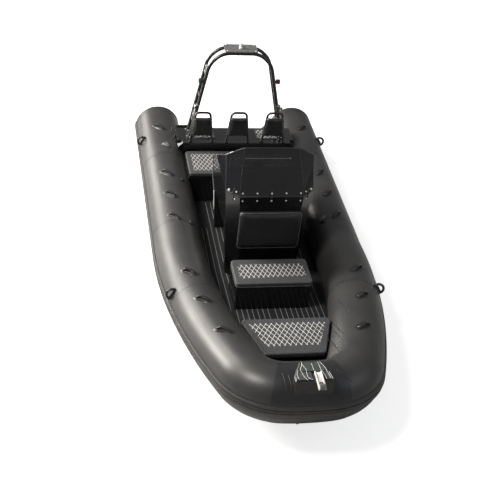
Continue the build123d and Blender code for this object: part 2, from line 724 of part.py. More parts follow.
# Smoked windshield: one sheet folded round the front corners, standing on the console's rim
shield_levels = []
side_narrow = (console_half_w - console_foot_half_w) / (console_top_z - deck_z)
side_rake = (console_front_x - console_corner - shield_side_x) / (shield_side_z - console_top_z)
for level, lean, side_x, front_half_w, half_w in (
    (console_dash_z, 0, console_front_x - console_corner,
     console_half_w - console_corner - side_narrow * (console_top_z - console_dash_z),
     console_half_w - side_narrow * (console_top_z - console_dash_z)),
    (console_top_z, 0, console_front_x - console_corner, console_half_w - console_corner,
     console_half_w),
    (shield_top_z, shield_rake,
     console_front_x - console_corner - side_rake * (shield_top_z - console_top_z),
     console_half_w - console_corner - shield_corner_narrow,
     console_half_w - shield_top_narrow),
):
    shield_levels.append([(level, [
        (console_aft_x, grow - half_w), (side_x - grow, grow - half_w),
        (console_front_x - lean - grow, grow - front_half_w),
        (console_front_x - lean - grow, front_half_w - grow), (side_x - grow, half_w - grow),
        (console_aft_x, half_w - grow)]) for grow in (0, shield_t)])

with BuildPart() as windshield:
    for outer, inner in shield_levels:
        with BuildSketch(Plane.XY.offset(outer[0])):
            with BuildLine():
                Polyline(*outer[1], *reversed(inner[1]), close=True)
            make_face()
    loft(ruled=True)
    with BuildSketch(Plane.XZ.offset(-console_half_w)):
        with BuildLine():
            rim_rise = (console_top_z - console_dash_z) / (console_brow_x - console_dash_x)
            Polyline((shield_wing_x, console_dash_z), (console_dash_x, console_dash_z),
                     (console_brow_x, console_top_z), (console_front_x, console_top_z),
                     (console_front_x, shield_top_z), (console_front_x - shield_rake, shield_top_z),
                     (shield_side_x, shield_side_z), (shield_wing_x, shield_wing_z), close=True)
        make_face()
    extrude(amount=2 * console_half_w, mode=Mode.INTERSECT)
windshield.part.label = "windshield"
export_step(windshield.part, "parts/windshield.step")

# Bent brackets that hold the sheet to the console, one screw in each half
corner_middle = Vector(console_front_x - console_corner / 2, console_half_w - console_corner / 2)
front_lean = shield_rake / (shield_top_z - console_top_z)
corner_lean = (shield_rake + side_rake * (shield_top_z - console_top_z)
               + shield_corner_narrow + shield_top_narrow) / 2 * sqrt(2) / 2
corner_lean = corner_lean / (shield_top_z - console_top_z)
bracket_places = [(Vector(console_front_x, row * bracket_spacing), 0, front_lean)
                  for row in (-2, -1, 0, 1, 2)]
bracket_places += [(Vector(corner_middle.X, side * corner_middle.Y), side * quarter / 2,
                    corner_lean) for side in (-1, 1)]
with BuildPart() as windshield_brackets:
    for place, turn, lean in bracket_places:
        away = Vector(cos(turn), sin(turn), 0)
        across = Vector(-sin(turn), cos(turn), 0)
        with BuildSketch(Plane(origin=place + across * (bracket_w / 2), x_dir=away,
                               z_dir=-across)):
            with BuildLine():
                Polyline((0, console_top_z - bracket_h), (bracket_t, console_top_z - bracket_h),
                         (bracket_t, console_top_z),
                         (bracket_t - lean * bracket_h, console_top_z + bracket_h),
                         (-lean * bracket_h, console_top_z + bracket_h), (0, console_top_z),
                         close=True)
            make_face()
        extrude(amount=bracket_w)
    add(console_body.part, mode=Mode.SUBTRACT)
    add(windshield.part, mode=Mode.SUBTRACT)
windshield_brackets.part.label = "windshield_brackets"
export_step(windshield_brackets.part, "parts/windshield_brackets.step")

# Padded backrest of the front seat, on the console's forward face
with BuildPart() as front_rest:
    with BuildSketch(Plane.YZ.offset(console_front_x)):
        with Locations((0, (rest_front_z_low + rest_front_z_high) / 2)):
            RectangleRounded(2 * rest_front_half_w - 2 * console_edge_r,
                             rest_front_z_high - rest_front_z_low, console_edge_r)
    extrude(amount=rest_front_t)
front_rest.part.label = "front_rest"
export_step(front_rest.part, "parts/front_rest.step")

# Helm: a bearing on the dash and the wheel on its shaft
dash_slope = Vector(console_brow_x - console_dash_x, 0, console_top_z - console_dash_z)
dash_middle = Vector((console_brow_x + console_dash_x) / 2, 0, (console_top_z + console_dash_z) / 2)
dash_plane = Plane(origin=dash_middle, x_dir=(0, 1, 0),
                   z_dir=(-dash_slope.Z, 0, dash_slope.X))
with BuildPart() as helm_bearing:
    with BuildSketch(dash_plane):
        Circle(helm_r)
    extrude(amount=wheel_stand_off, taper=wheel_hub_h / 2 / helm_r)
helm_bearing.part.label = "helm_bearing"
export_step(helm_bearing.part, "parts/helm_bearing.step")

wheel_plane = dash_plane.offset(wheel_stand_off + roller_gap)
with BuildPart() as steering_wheel:
    with BuildSketch(wheel_plane):
        Circle(wheel_hub_r)
    extrude(amount=wheel_hub_h)
    with BuildSketch(wheel_plane.offset(wheel_hub_h / 2)):
        with PolarLocations((wheel_r + wheel_hub_r) / 2, 3, start_angle=90):
            Rectangle(wheel_r - wheel_hub_r + wheel_rim_r, wheel_spoke_w)
    extrude(amount=wheel_spoke_t)
    with BuildSketch(Plane(origin=wheel_plane.offset(wheel_hub_h / 2 + wheel_spoke_t / 2).origin,
                           x_dir=wheel_plane.x_dir, z_dir=-wheel_plane.y_dir)):
        with Locations((wheel_r, 0)):
            RegularPolygon(wheel_rim_r, wheel_rim_sides)
    revolve(axis=Axis(wheel_plane.origin, wheel_plane.z_dir))
steering_wheel.part.label = "steering_wheel"
export_step(steering_wheel.part, "parts/steering_wheel.step")

# Engine control on the dash's starboard side
with BuildPart() as throttle:
    throttle_plane = Plane(origin=dash_plane.from_local_coords(Vector(throttle_y, 0)),
                           x_dir=dash_plane.x_dir, z_dir=dash_plane.z_dir)
    with BuildSketch(throttle_plane):
        RectangleRounded(throttle_size, throttle_size, wheel_rim_r)
    extrude(amount=throttle_size / 2)
    with BuildSketch(throttle_plane.offset(throttle_size / 2)):
        Circle(wheel_rim_r)
    extrude(amount=throttle_lever_h)
throttle.part.label = "throttle"
export_step(throttle.part, "parts/throttle.step")


# Front seat: box, hinged lid and pad
seat_box_top = seat_top_z - pad_t - lid_t - lid_gap
with BuildPart() as front_seat_box:
    with BuildSketch(Plane.XZ.offset(-seat_half_w + pad_overhang)):
        with BuildLine():
            Polyline((seat_aft_x - pad_overhang, deck_at(seat_aft_x - pad_overhang) + mat_t),
                     (seat_front_x - pad_overhang, deck_at(seat_front_x - pad_overhang) + mat_t),
                     (seat_front_x - pad_overhang, seat_box_top),
                     (seat_aft_x - pad_overhang, seat_box_top), close=True)
        make_face()
    extrude(amount=2 * seat_half_w - 2 * pad_overhang)
    seat_floor = deck_at(seat_front_x) + mat_t + locker_wall
    with BuildSketch(Plane.XY.offset(seat_floor)):
        with Locations(((seat_aft_x + seat_front_x) / 2 - pad_overhang, 0)):
            Rectangle(seat_front_x - seat_aft_x - 2 * locker_wall,
                      2 * seat_half_w - 2 * pad_overhang - 2 * locker_wall)
    extrude(amount=seat_box_top, mode=Mode.SUBTRACT)
    # outer knuckles of the lid's hinges, on leaves down the aft wall
    seat_pin_x = seat_aft_x - pad_overhang - hinge_r - hinge_clearance
    seat_hinge_y = hinge_share * (seat_half_w - pad_overhang)
    for side in (-1, 1):
        for way in (-1, 1):
            knuckle_y = side * seat_hinge_y + way * (hinge_l + hinge_clearance)
            with BuildSketch(Plane.XZ.offset(-knuckle_y - hinge_l / 2)):
                with Locations((seat_pin_x + hinge_r / 2 + hinge_clearance / 2,
                                seat_box_top - hinge_leaf_h / 2)):
                    Rectangle(hinge_r + hinge_clearance, hinge_leaf_h)
                with Locations((seat_pin_x, seat_box_top)):
                    Circle(hinge_r)
            extrude(amount=hinge_l)
front_seat_box.part.label = "front_seat_box"
export_step(front_seat_box.part, "parts/front_seat_box.step")

with BuildPart() as front_seat_lid:
    with BuildSketch(Plane.XY.offset(seat_box_top + lid_gap)):
        with Locations(((seat_aft_x + seat_front_x) / 2 - pad_overhang, 0)):
            Rectangle(seat_front_x - seat_aft_x, 2 * seat_half_w - 2 * pad_overhang)
    extrude(amount=lid_t)
    for side in (-1, 1):
        with BuildSketch(Plane.XZ.offset(-side * seat_hinge_y - hinge_l / 2)):
            with Locations((seat_pin_x + hinge_r / 2 + hinge_clearance / 2,
                            seat_box_top + lid_gap + lid_t / 2)):
                Rectangle(hinge_r + hinge_clearance, lid_t)
            with Locations((seat_pin_x, seat_box_top)):
                Circle(hinge_r)
        extrude(amount=hinge_l)
front_seat_lid.part.label = "front_seat_lid"
export_step(front_seat_lid.part, "parts/front_seat_lid.step")

with BuildPart() as front_seat_pad:
    with BuildSketch(Plane.XY.offset(seat_box_top + lid_gap + lid_t)):
        with Locations(((seat_aft_x + seat_front_x) / 2, 0)):
            RectangleRounded(seat_front_x - seat_aft_x, 2 * seat_half_w, tube_clearance)
    extrude(amount=pad_t)
    fillet(front_seat_pad.edges().group_by(Axis.Z)[-1], pad_overhang)
front_seat_pad.part.label = "front_seat_pad"
export_step(front_seat_pad.part, "parts/front_seat_pad.step")


# Bow locker: tapered box, lid hinged at its forward edge, pad
def bow_locker_outline(inset):
    """Plan outline that narrows forward between the tubes."""
    return [(locker_aft_x + inset, inset - locker_aft_half_w),
            (locker_front_x - inset, inset - locker_front_half_w),
            (locker_front_x - inset, locker_front_half_w - inset),
            (locker_aft_x + inset, locker_aft_half_w - inset)]


locker_box_top = locker_top_z - pad_t - lid_t - lid_gap
with BuildPart() as bow_locker_box:
    with BuildSketch(Plane.XY.offset(deck_z)):
        with BuildLine():
            Polyline(*bow_locker_outline(pad_overhang), close=True)
        make_face()
    extrude(amount=locker_box_top - deck_z)
    with BuildSketch(Plane.XZ.offset(-tube_y)):
        with BuildLine():
            Polyline((0, 0), (hull_length, 0), (hull_length, deck_at(hull_length) + mat_t),
                     (sheer_x, deck_z + mat_t), (0, deck_z + mat_t), close=True)
        make_face()
    extrude(amount=2 * tube_y, mode=Mode.SUBTRACT)
    add(tube_collar.part, mode=Mode.SUBTRACT)
    with BuildSketch(Plane.XY.offset(deck_at(locker_front_x) + mat_t + locker_wall)):
        with BuildLine():
            Polyline(*bow_locker_outline(pad_overhang + locker_wall), close=True)
        make_face()
    extrude(amount=locker_box_top, mode=Mode.SUBTRACT)
    locker_pin_x = locker_aft_x + pad_overhang - hinge_r - hinge_clearance
    locker_hinge_y = hinge_share * (locker_aft_half_w - pad_overhang)
    for side in (-1, 1):
        for way in (-1, 1):
            knuckle_y = side * locker_hinge_y + way * (hinge_l + hinge_clearance)
            with BuildSketch(Plane.XZ.offset(-knuckle_y - hinge_l / 2)):
                with Locations((locker_pin_x + hinge_r / 2 + hinge_clearance / 2,
                                locker_box_top - hinge_leaf_h / 2)):
                    Rectangle(hinge_r + hinge_clearance, hinge_leaf_h)
                with Locations((locker_pin_x, locker_box_top)):
                    Circle(hinge_r)
            extrude(amount=hinge_l)
bow_locker_box.part.label = "bow_locker_box"
export_step(bow_locker_box.part, "parts/bow_locker_box.step")

with BuildPart() as bow_locker_lid:
    with BuildSketch(Plane.XY.offset(locker_box_top + lid_gap)):
        with BuildLine():
            Polyline(*bow_locker_outline(pad_overhang), close=True)
        make_face()
    extrude(amount=lid_t)
    for side in (-1, 1):
        with BuildSketch(Plane.XZ.offset(-side * locker_hinge_y - hinge_l / 2)):
            with Locations((locker_pin_x + hinge_r / 2 + hinge_clearance / 2,
                            locker_box_top + lid_gap + lid_t / 2)):
                Rectangle(hinge_r + hinge_clearance, lid_t)
            with Locations((locker_pin_x, locker_box_top)):
                Circle(hinge_r)
        extrude(amount=hinge_l)
bow_locker_lid.part.label = "bow_locker_lid"
export_step(bow_locker_lid.part, "parts/bow_locker_lid.step")

with BuildPart() as bow_locker_pad:
    with BuildSketch(Plane.XY.offset(locker_box_top + lid_gap + lid_t)):
        with BuildLine():
            Polyline(*bow_locker_outline(0), close=True)
        make_face()
    extrude(amount=pad_t)
    fillet(bow_locker_pad.edges().group_by(Axis.Z)[-1], pad_overhang)
bow_locker_pad.part.label = "bow_locker_pad"
export_step(bow_locker_pad.part, "parts/bow_locker_pad.step")

# Foredeck between the locker and the bow tube
with BuildPart() as foredeck:
    with BuildSketch(Plane.XY.offset(foredeck_z - foredeck_t)):
        with Locations(((locker_front_x + foredeck_front_x) / 2, 0)):
            Rectangle(foredeck_front_x - locker_front_x, 2 * foredeck_half_w)
    extrude(amount=foredeck_t)
    add(tube_collar.part, mode=Mode.SUBTRACT)
foredeck.part.label = "foredeck"
export_step(foredeck.part, "parts/foredeck.step")

# Boarding step, moulded to sit over the bow tube
with BuildPart() as bow_step:
    with BuildSketch(Plane.XY.offset(nose_point.Z)):
        with BuildLine():
            Polyline((step_aft_x, -step_aft_half_w), (step_front_x - step_shoulder, -step_half_w),
                     (step_front_x, -step_half_w), (step_front_x, step_half_w),
                     (step_front_x - step_shoulder, step_half_w), (step_aft_x, step_aft_half_w),
                     close=True)
        make_face()
    extrude(amount=step_top_z - nose_point.Z)
    add(tube_collar.part, mode=Mode.SUBTRACT)
    chamfer(bow_step.edges().group_by(Axis.Z)[-1], step_edge_r)
    with BuildSketch(Plane.XY.offset(step_top_z - roller_notch_d)):
        with Locations((step_front_x - roller_notch_l / 2, roller_y)):
            Rectangle(roller_notch_l, 2 * roller_notch_half_w)
    extrude(amount=step_rise, mode=Mode.SUBTRACT)
bow_step.part.label = "bow_step"
export_step(bow_step.part, "parts/bow_step.step")

# Bow roller: a bent channel bolted to the step, and the roller on its pin
roller_seat_z = step_top_z - roller_notch_d
roller_z = roller_seat_z + roller_wall + roller_r / 2
cheek_y = roller_w / 2 + roller_gap
with BuildPart() as roller_bracket:
    with BuildSketch(Plane.XY.offset(roller_seat_z)):
        with Locations((step_front_x - roller_w, roller_y)):
            Rectangle(2 * roller_w + 2 * pad_overhang, roller_w + 2 * roller_gap)
    extrude(amount=roller_wall)
    with BuildSketch(Plane.XZ.offset(-roller_y - cheek_y - roller_wall)):
        with BuildLine():
            Polyline((step_front_x - 2 * roller_w - pad_overhang, roller_seat_z),
                     (step_front_x, roller_seat_z), (roller_x + roller_r / 2, roller_z - roller_r),
                     (roller_x + roller_r, roller_z), (roller_x, roller_z + roller_r / 2),
                     (step_front_x - 2 * roller_w, roller_z + roller_r / 2), close=True)
        make_face()
    extrude(amount=roller_wall)
    mirror(about=Plane.XZ.offset(-roller_y))
    with BuildSketch(Plane.XZ.offset(-roller_y - cheek_y - roller_wall)):
        with Locations((roller_x, roller_z)):
            Circle(roller_pin_r)
    extrude(amount=2 * cheek_y + 2 * roller_wall)
roller_bracket.part.label = "roller_bracket"
export_step(roller_bracket.part, "parts/roller_bracket.step")

with BuildPart() as bow_roller:
    with BuildSketch(Plane.XZ.offset(-roller_y - roller_w / 2)):
        with Locations((roller_x, roller_z)):
            Circle(roller_r)
            Circle(roller_pin_r + roller_gap, mode=Mode.SUBTRACT)
    extrude(amount=roller_w)
bow_roller.part.label = "bow_roller"
export_step(bow_roller.part, "parts/bow_roller.step")

# Towing eye on the stem below the bow tube: a forged plate with a round hole
with BuildPart() as bow_eye:
    with BuildSketch(Plane.XZ.offset(-bow_eye_t / 2)):
        with Locations((bow_eye_x, bow_eye_z)):
            Circle(bow_eye_r)
            Circle(bow_eye_hole_r, mode=Mode.SUBTRACT)
        with Locations((bow_eye_x - bow_eye_r, bow_eye_z)):
            Rectangle(bow_eye_r, 2 * bow_eye_hole_r)
    extrude(amount=bow_eye_t)
    add(hull.part, mode=Mode.SUBTRACT)
bow_eye.part.label = "bow_eye"
export_step(bow_eye.part, "parts/bow_eye.step")

# Lifeline loops: moulded patches slantwise over the tubes, each with an eyelet
with BuildPart() as line_loops:
    for x in loop_places:
        seat = tube_plane(x, loop_angle)
        seat = Plane(origin=seat.origin, z_dir=seat.z_dir,
                     x_dir=seat.x_dir.rotate(Axis((0, 0, 0), seat.z_dir), loop_turn))
        with BuildSketch(seat.offset(-patch_t - loop_bar_t)):
            SlotOverall(loop_l, loop_w, rotation=90)
        extrude(amount=2 * patch_t + loop_bar_t)
        with BuildSketch(Plane(origin=seat.origin, x_dir=seat.y_dir, z_dir=-seat.x_dir)
                         .offset(-loop_bar_t / 2)):
            with BuildLine():
                FilletPolyline((-loop_l / 3, 0), (-loop_l / 4, loop_rise), (loop_l / 4, loop_rise),
                               (loop_l / 3, 0), close=True, radius=loop_bar_t / 3)
            make_face()
            with Locations((0, loop_rise / 2)):
                Circle(loop_eye_r, mode=Mode.SUBTRACT)
        extrude(amount=loop_bar_t)
    add(tube_collar.part, mode=Mode.SUBTRACT)
    mirror(about=Plane.XZ)
line_loops.part.label = "line_loops"
export_step(line_loops.part, "parts/line_loops.step")

# Ring patches outside the tubes, over the rub strake
with BuildPart() as tow_rings:
    for x in ring_places:
        seat = tube_plane(x, ring_angle)
        with BuildSketch(seat.offset(-ring_plate_t)):
            Circle(ring_plate_r)
        extrude(amount=2 * ring_plate_t)
        with BuildSketch(Plane(origin=seat.origin + seat.z_dir * ring_plate_t,
                               x_dir=seat.z_dir, z_dir=seat.y_dir)):
            with Locations((ring_r, 0)):
                RegularPolygon(ring_rod_r, ring_sides)
        revolve(axis=Axis(seat.origin + seat.z_dir * ring_plate_t, seat.x_dir))
    add(tube_collar.part, mode=Mode.SUBTRACT)
    add(rub_strake.part, mode=Mode.SUBTRACT)
    mirror(about=Plane.XZ)
tow_rings.part.label = "tow_rings"
export_step(tow_rings.part, "parts/tow_rings.step")

# Inflation valves on the tubes' inner sides
with BuildPart() as valves:
    for x in valve_places:
        seat = tube_plane(x, valve_angle)
        with BuildSketch(seat.offset(-valve_t)):
            Circle(valve_r)
        extrude(amount=2 * valve_t)
    add(tube_collar.part, mode=Mode.SUBTRACT)
    mirror(about=Plane.XZ)
valves.part.label = "valves"
export_step(valves.part, "parts/valves.step")
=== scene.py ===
from math import atan2, cos, pi, radians, sin, tan

import bmesh
import bpy
import numpy as np
from mathutils import Matrix, Vector


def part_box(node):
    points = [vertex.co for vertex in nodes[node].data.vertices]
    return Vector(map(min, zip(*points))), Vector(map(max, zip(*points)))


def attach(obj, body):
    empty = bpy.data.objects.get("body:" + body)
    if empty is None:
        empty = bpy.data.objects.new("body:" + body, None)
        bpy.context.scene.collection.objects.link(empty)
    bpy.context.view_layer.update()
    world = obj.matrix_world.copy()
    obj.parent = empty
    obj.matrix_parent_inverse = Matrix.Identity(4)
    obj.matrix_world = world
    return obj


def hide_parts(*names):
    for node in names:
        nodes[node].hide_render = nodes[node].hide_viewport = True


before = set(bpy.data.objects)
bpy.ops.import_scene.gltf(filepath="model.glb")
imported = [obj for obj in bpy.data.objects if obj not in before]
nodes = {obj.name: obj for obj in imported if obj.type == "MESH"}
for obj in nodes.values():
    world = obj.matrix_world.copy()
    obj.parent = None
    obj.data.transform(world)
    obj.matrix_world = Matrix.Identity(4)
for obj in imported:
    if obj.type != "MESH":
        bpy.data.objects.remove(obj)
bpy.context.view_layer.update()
scene = bpy.context.scene
X, Y, Z = Vector((1, 0, 0)), Vector((0, 1, 0)), Vector((0, 0, 1))

# Camera at the photograph's viewing angle: ahead of the bow, to starboard, looking down and aft
CAMERA_AT, FOCAL_MM, CLIP_END = (9.9645, -1.9395, 6.2048), 72.0, 60
YAW, PITCH, ROLL = -0.232264, 0.632338, -0.121859
ahead = Vector((-cos(YAW) * cos(PITCH), -sin(YAW) * cos(PITCH), -sin(PITCH)))
right = ahead.cross(Z).normalized()
down = ahead.cross(right)
right, down = cos(ROLL) * right + sin(ROLL) * down, cos(ROLL) * down - sin(ROLL) * right
camera = bpy.data.objects.new("camera", bpy.data.cameras.new("camera"))
camera.matrix_world = Matrix.Translation(CAMERA_AT) @ Matrix(
    (right, -down, -ahead)).transposed().to_4x4()
camera.data.lens = FOCAL_MM
camera.data.clip_end = CLIP_END
scene.collection.objects.link(camera)
scene.camera = camera


# -------- materials
M = {}
GRAIN_HEIGHT = 0.0006


def add_node(tree, kind, *links, **values):
    """A shader node: links are (output, input) pairs, and values go by the input's name."""
    n = tree.nodes.new("ShaderNode" + kind)
    for key, value in values.items():
        n.inputs[key].default_value = value
    for output, key in links:
        tree.links.new(output, n.inputs[key])
    return n


def surface(name, color, rough, metal=0.0, vary=0.2, scale=30.0, rough_vary=0.08,
            grain=0.0, grain_scale=900.0, cells=False, **more):
    """A procedural material in M: colour and roughness drift, and a fine grain gives it relief."""
    m = M[name] = bpy.data.materials.new(name)
    m.use_nodes = True
    tree = m.node_tree
    link = tree.links.new
    shader = tree.nodes["Principled BSDF"]
    for key, value in dict(more, Metallic=metal).items():
        shader.inputs[key.replace("_", " ")].default_value = value
    place = add_node(tree, "TexCoord").outputs["Object"]

    def noise(size, detail):
        n = add_node(tree, "TexNoise", (place, "Vector"), Scale=size, Detail=detail)
        return n.outputs["Fac"]

    def ramp(source, low, high, start=0.3, end=0.7):
        r = add_node(tree, "ValToRGB", (source, "Fac"))
        for stop, position, color in zip(r.color_ramp.elements, (start, end), (low, high)):
            stop.position, stop.color = position, (*color, 1)
        return r.outputs["Color"]

    base = Vector(color)
    link(ramp(noise(scale, 4), base * (1 - vary), base * (1 + vary)), shader.inputs["Base Color"])
    low, high = max(0.02, rough - rough_vary), min(1, rough + rough_vary)
    link(ramp(noise(scale / 6, 6), (low,) * 3, (high,) * 3), shader.inputs["Roughness"])
    if grain:
        if cells:
            v = add_node(tree, "TexVoronoi", (place, "Vector"), Scale=grain_scale)
            v.feature = "DISTANCE_TO_EDGE"
            height = ramp(v.outputs["Distance"], (0, 0, 0), (1, 1, 1), 0.0, 0.18)
        else:
            height = noise(grain_scale, 3)
        bump = add_node(tree, "Bump", (height, "Height"), Strength=grain, Distance=GRAIN_HEIGHT)
        link(bump.outputs["Normal"], shader.inputs["Normal"])


surface("collar", (0.026, 0.0255, 0.026), 0.40, vary=0.18, scale=5, grain=0.35, grain_scale=420,
        rough_vary=0.07)
surface("tape", (0.021, 0.021, 0.0225), 0.42, scale=9, grain=0.3, grain_scale=420)
# Pale grey for the tube straps, partly their own tone and partly painted light
surface("webbing", (0.085, 0.085, 0.088), 0.45, scale=40, grain=0.5, grain_scale=500)
# Darker than the collar: partly the doubled patch's own tone, partly painted dark reflection
surface("nose", (0.012, 0.0125, 0.0145), 0.40, vary=0.15, scale=6, grain=0.35, grain_scale=420)
surface("strap", (0.016, 0.016, 0.018), 0.28, vary=0.25, scale=60, grain=0.3, grain_scale=600)
surface("strake", (0.022, 0.021, 0.021), 0.48, scale=14, grain=0.25)
surface("hull", (0.022, 0.022, 0.024), 0.22, vary=0.12, scale=4, rough_vary=0.06, grain=0.05,
        Coat_Weight=0.3)
surface("mat", (0.011, 0.0115, 0.013), 0.75, vary=0.25, scale=60, grain=0.6, grain_scale=1100)
surface("line", (0.26, 0.27, 0.285), 0.8, vary=0.15, scale=80, grain=0.3)
surface("pad", (0.038, 0.039, 0.042), 0.62, scale=50, grain=0.6, grain_scale=1100)
surface("diamond", (0.62, 0.62, 0.61), 0.8, vary=0.15, scale=80, grain=0.3)
surface("cushion", (0.008, 0.008, 0.009), 0.42, vary=0.25, scale=20, grain=0.4, grain_scale=420,
        cells=True)
# Paler than the cushions: this grey is partly painted highlight, on the cushion welts, the front
# seat's welt and the stern folds' ridges
surface("piping", (0.10, 0.10, 0.102), 0.24, scale=60, grain=0.3, grain_scale=700)
surface("moulding", (0.005, 0.005, 0.006), 0.22, scale=6, grain=0.12, grain_scale=260,
        Coat_Weight=0.25)
surface("frame", (0.008, 0.008, 0.009), 0.28, grain=0.2, grain_scale=500, Coat_Weight=0.3)
surface("plate", (0.105, 0.106, 0.112), 0.45, vary=0.3, scale=120, grain=0.6, grain_scale=300)
surface("steel", (0.62, 0.62, 0.60), 0.22, 1.0, vary=0.08, scale=40, grain=0.15, grain_scale=500)
surface("bright", (0.62, 0.62, 0.61), 0.35, vary=0.08, scale=40, grain=0.1)
surface("brass", (0.55, 0.42, 0.16), 0.28, 1.0, scale=50, grain=0.2)
surface("grip", (0.012, 0.012, 0.013), 0.38, vary=0.25, scale=80, grain=0.4, grain_scale=700)
surface("step", (0.040, 0.047, 0.047), 0.55, vary=0.25, scale=60, grain=0.5, grain_scale=800)
surface("screen", (0.004, 0.0045, 0.006), 0.07, scale=4, rough_vary=0.02, Alpha=0.86,
        Coat_Weight=0.4, Coat_Roughness=0.03)
surface("gloss", (0.02, 0.02, 0.021), 0.12, rough_vary=0.04, Coat_Weight=0.6, Coat_Roughness=0.06)
surface("edge", (0.10, 0.10, 0.105), 0.20, scale=60, grain=0.1, grain_scale=600)
surface("lens", (0.75, 0.78, 0.80), 0.12, vary=0.05, rough_vary=0.04)
surface("green", (0.01, 0.05, 0.035), 0.18, rough_vary=0.04)
surface("red", (0.10, 0.008, 0.008), 0.18, rough_vary=0.04)
surface("dial", (0.55, 0.57, 0.60), 0.45, vary=0.1, scale=60)
surface("dark", (0.004, 0.004, 0.0045), 0.5, scale=60, grain=0.2)


# -------- mesh tools
def turn(n, start=0.0):
    """n angles round a full turn."""
    return [start + 2 * pi * i / n for i in range(n)]


def outward(b, mesh):
    """Writes a bmesh to a mesh, with its faces turned outward."""
    bmesh.ops.recalc_face_normals(b, faces=b.faces)
    b.to_mesh(mesh)
    b.free()
    return mesh


def steep(way):
    """An axis well off way."""
    return Z if abs(way.z) < 0.9 else X


class Shape:
    """Collects lofts, lathes, pipes and blocks into one mesh piece."""

    def __init__(self):
        self.points, self.faces = [], []

    def loft(self, rings, closed=True, ends=True, around=False):
        """Quads between rings: closed joins each ring on itself, around joins last to first."""
        start, n, count = len(self.points), len(rings[0]), len(rings)
        for ring in rings:
            self.points.extend(tuple(p) for p in ring)
        for i in range(count if around else count - 1):
            a, b = start + i * n, start + (i + 1) % count * n
            for j in range(n if closed else n - 1):
                k = (j + 1) % n
                self.faces.append((a + j, a + k, b + k, b + j))
        if ends and closed and not around:
            self.faces.append(tuple(range(start + n - 1, start - 1, -1)))
            self.faces.append(tuple(range(start + (count - 1) * n, start + count * n)))

    def lathe(self, origin, axis, profile, n=24, up=None):
        """Turns (radius, height) pairs about an axis."""
        axis = Vector(axis).normalized()
        u = axis.cross(up or steep(axis)).normalized()
        v = axis.cross(u)
        self.loft([[Vector(origin) + axis * h + (u * cos(a) + v * sin(a)) * max(r, 1e-5)
                    for a in turn(n)] for r, h in profile])

    def pipe(self, path, r, n=12, around=False, flat=1.0, up=None):
        """A tube of radius r along points; flat scales it across up."""
        path = [Vector(p) for p in path]
        rings, side = [], None
        for i, p in enumerate(path):
            before = path[i - 1] if i or around else p
            after = path[(i + 1) % len(path)] if i + 1 < len(path) or around else p
            way = (after - before).normalized()
            side = side or way.cross(up or steep(way)).normalized()
            side = (side - way * side.dot(way)).normalized()
            lift = side.cross(way)
            rings.append([p + (side * cos(a) + lift * flat * sin(a)) * r for a in turn(n)])
        self.loft(rings, around=around, ends=not around)

    def block(self, middle, size, axes=(X, Y, Z), cut=0.002):
        """A box with cut edges along the third axis and at its ends."""
        a, b, c = (Vector(v).normalized() for v in axes)
        sx, sy, sz = (v / 2 for v in size)
        rings = []
        for inset, h in ((cut, -sz), (0, -sz + cut), (0, sz - cut), (cut, sz)):
            corner = ((sx - inset, sy - inset - cut), (sx - inset - cut, sy - inset))
            rings.append([Vector(middle) + a * u * p + b * v * q + c * h
                          for u, v in ((1, 1), (-1, 1), (-1, -1), (1, -1))
                          for p, q in corner[::u * v]])
        self.loft(rings)

    def mesh(self, name):
        mesh = bpy.data.meshes.new(name)
        mesh.from_pydata(self.points, [], self.faces)
        b = bmesh.new()
        b.from_mesh(mesh)
        return outward(b, mesh)

    def make(self, name, mat, **how):
        how.setdefault("slot", mat)
        finish_piece(name, self.mesh(name), (mat,), **how)


def smooth(mesh):
    mesh.polygons.foreach_set("use_smooth", [True] * len(mesh.polygons))


def add_object(name, data):
    o = bpy.data.objects.new(name, data)
    scene.collection.objects.link(o)
    return o


def finish_piece(name, mesh, mats, body="boat", stands=(), slot=None, sharp=35, bevel=0.0):
    """Links a mesh as a piece that rides on a body and stands for CAD nodes."""
    for mat in mats:
        mesh.materials.append(M[mat])
    smooth(mesh)
    mesh.set_sharp_from_angle(angle=radians(sharp))
    o = add_object(name, mesh)
    if bevel:
        mod = o.modifiers.new("edges", "BEVEL")
        mod.width, mod.segments, mod.limit_method = bevel, 2, "ANGLE"
    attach(o, body)
    if stands:
        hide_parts(*stands)
    return o


def dress(node, mat, soften=0.0):
    """Gives a CAD node its material, and rounds its sharp edges if soften is given."""
    o = nodes[node]
    o.data.materials.clear()
    o.data.materials.append(M[mat])
    o.data.polygons.foreach_set("material_index", [0] * len(o.data.polygons))
    if soften:
        o.modifiers.new("weld", "WELD").merge_threshold = 0.00005
        mod = o.modifiers.new("edges", "BEVEL")
        mod.width, mod.segments, mod.limit_method = soften, 3, "ANGLE"
        mod.angle_limit = radians(28)
        mod.use_clamp_overlap = True
        smooth(o.data)
        o.modifiers.new("normals", "WEIGHTED_NORMAL")


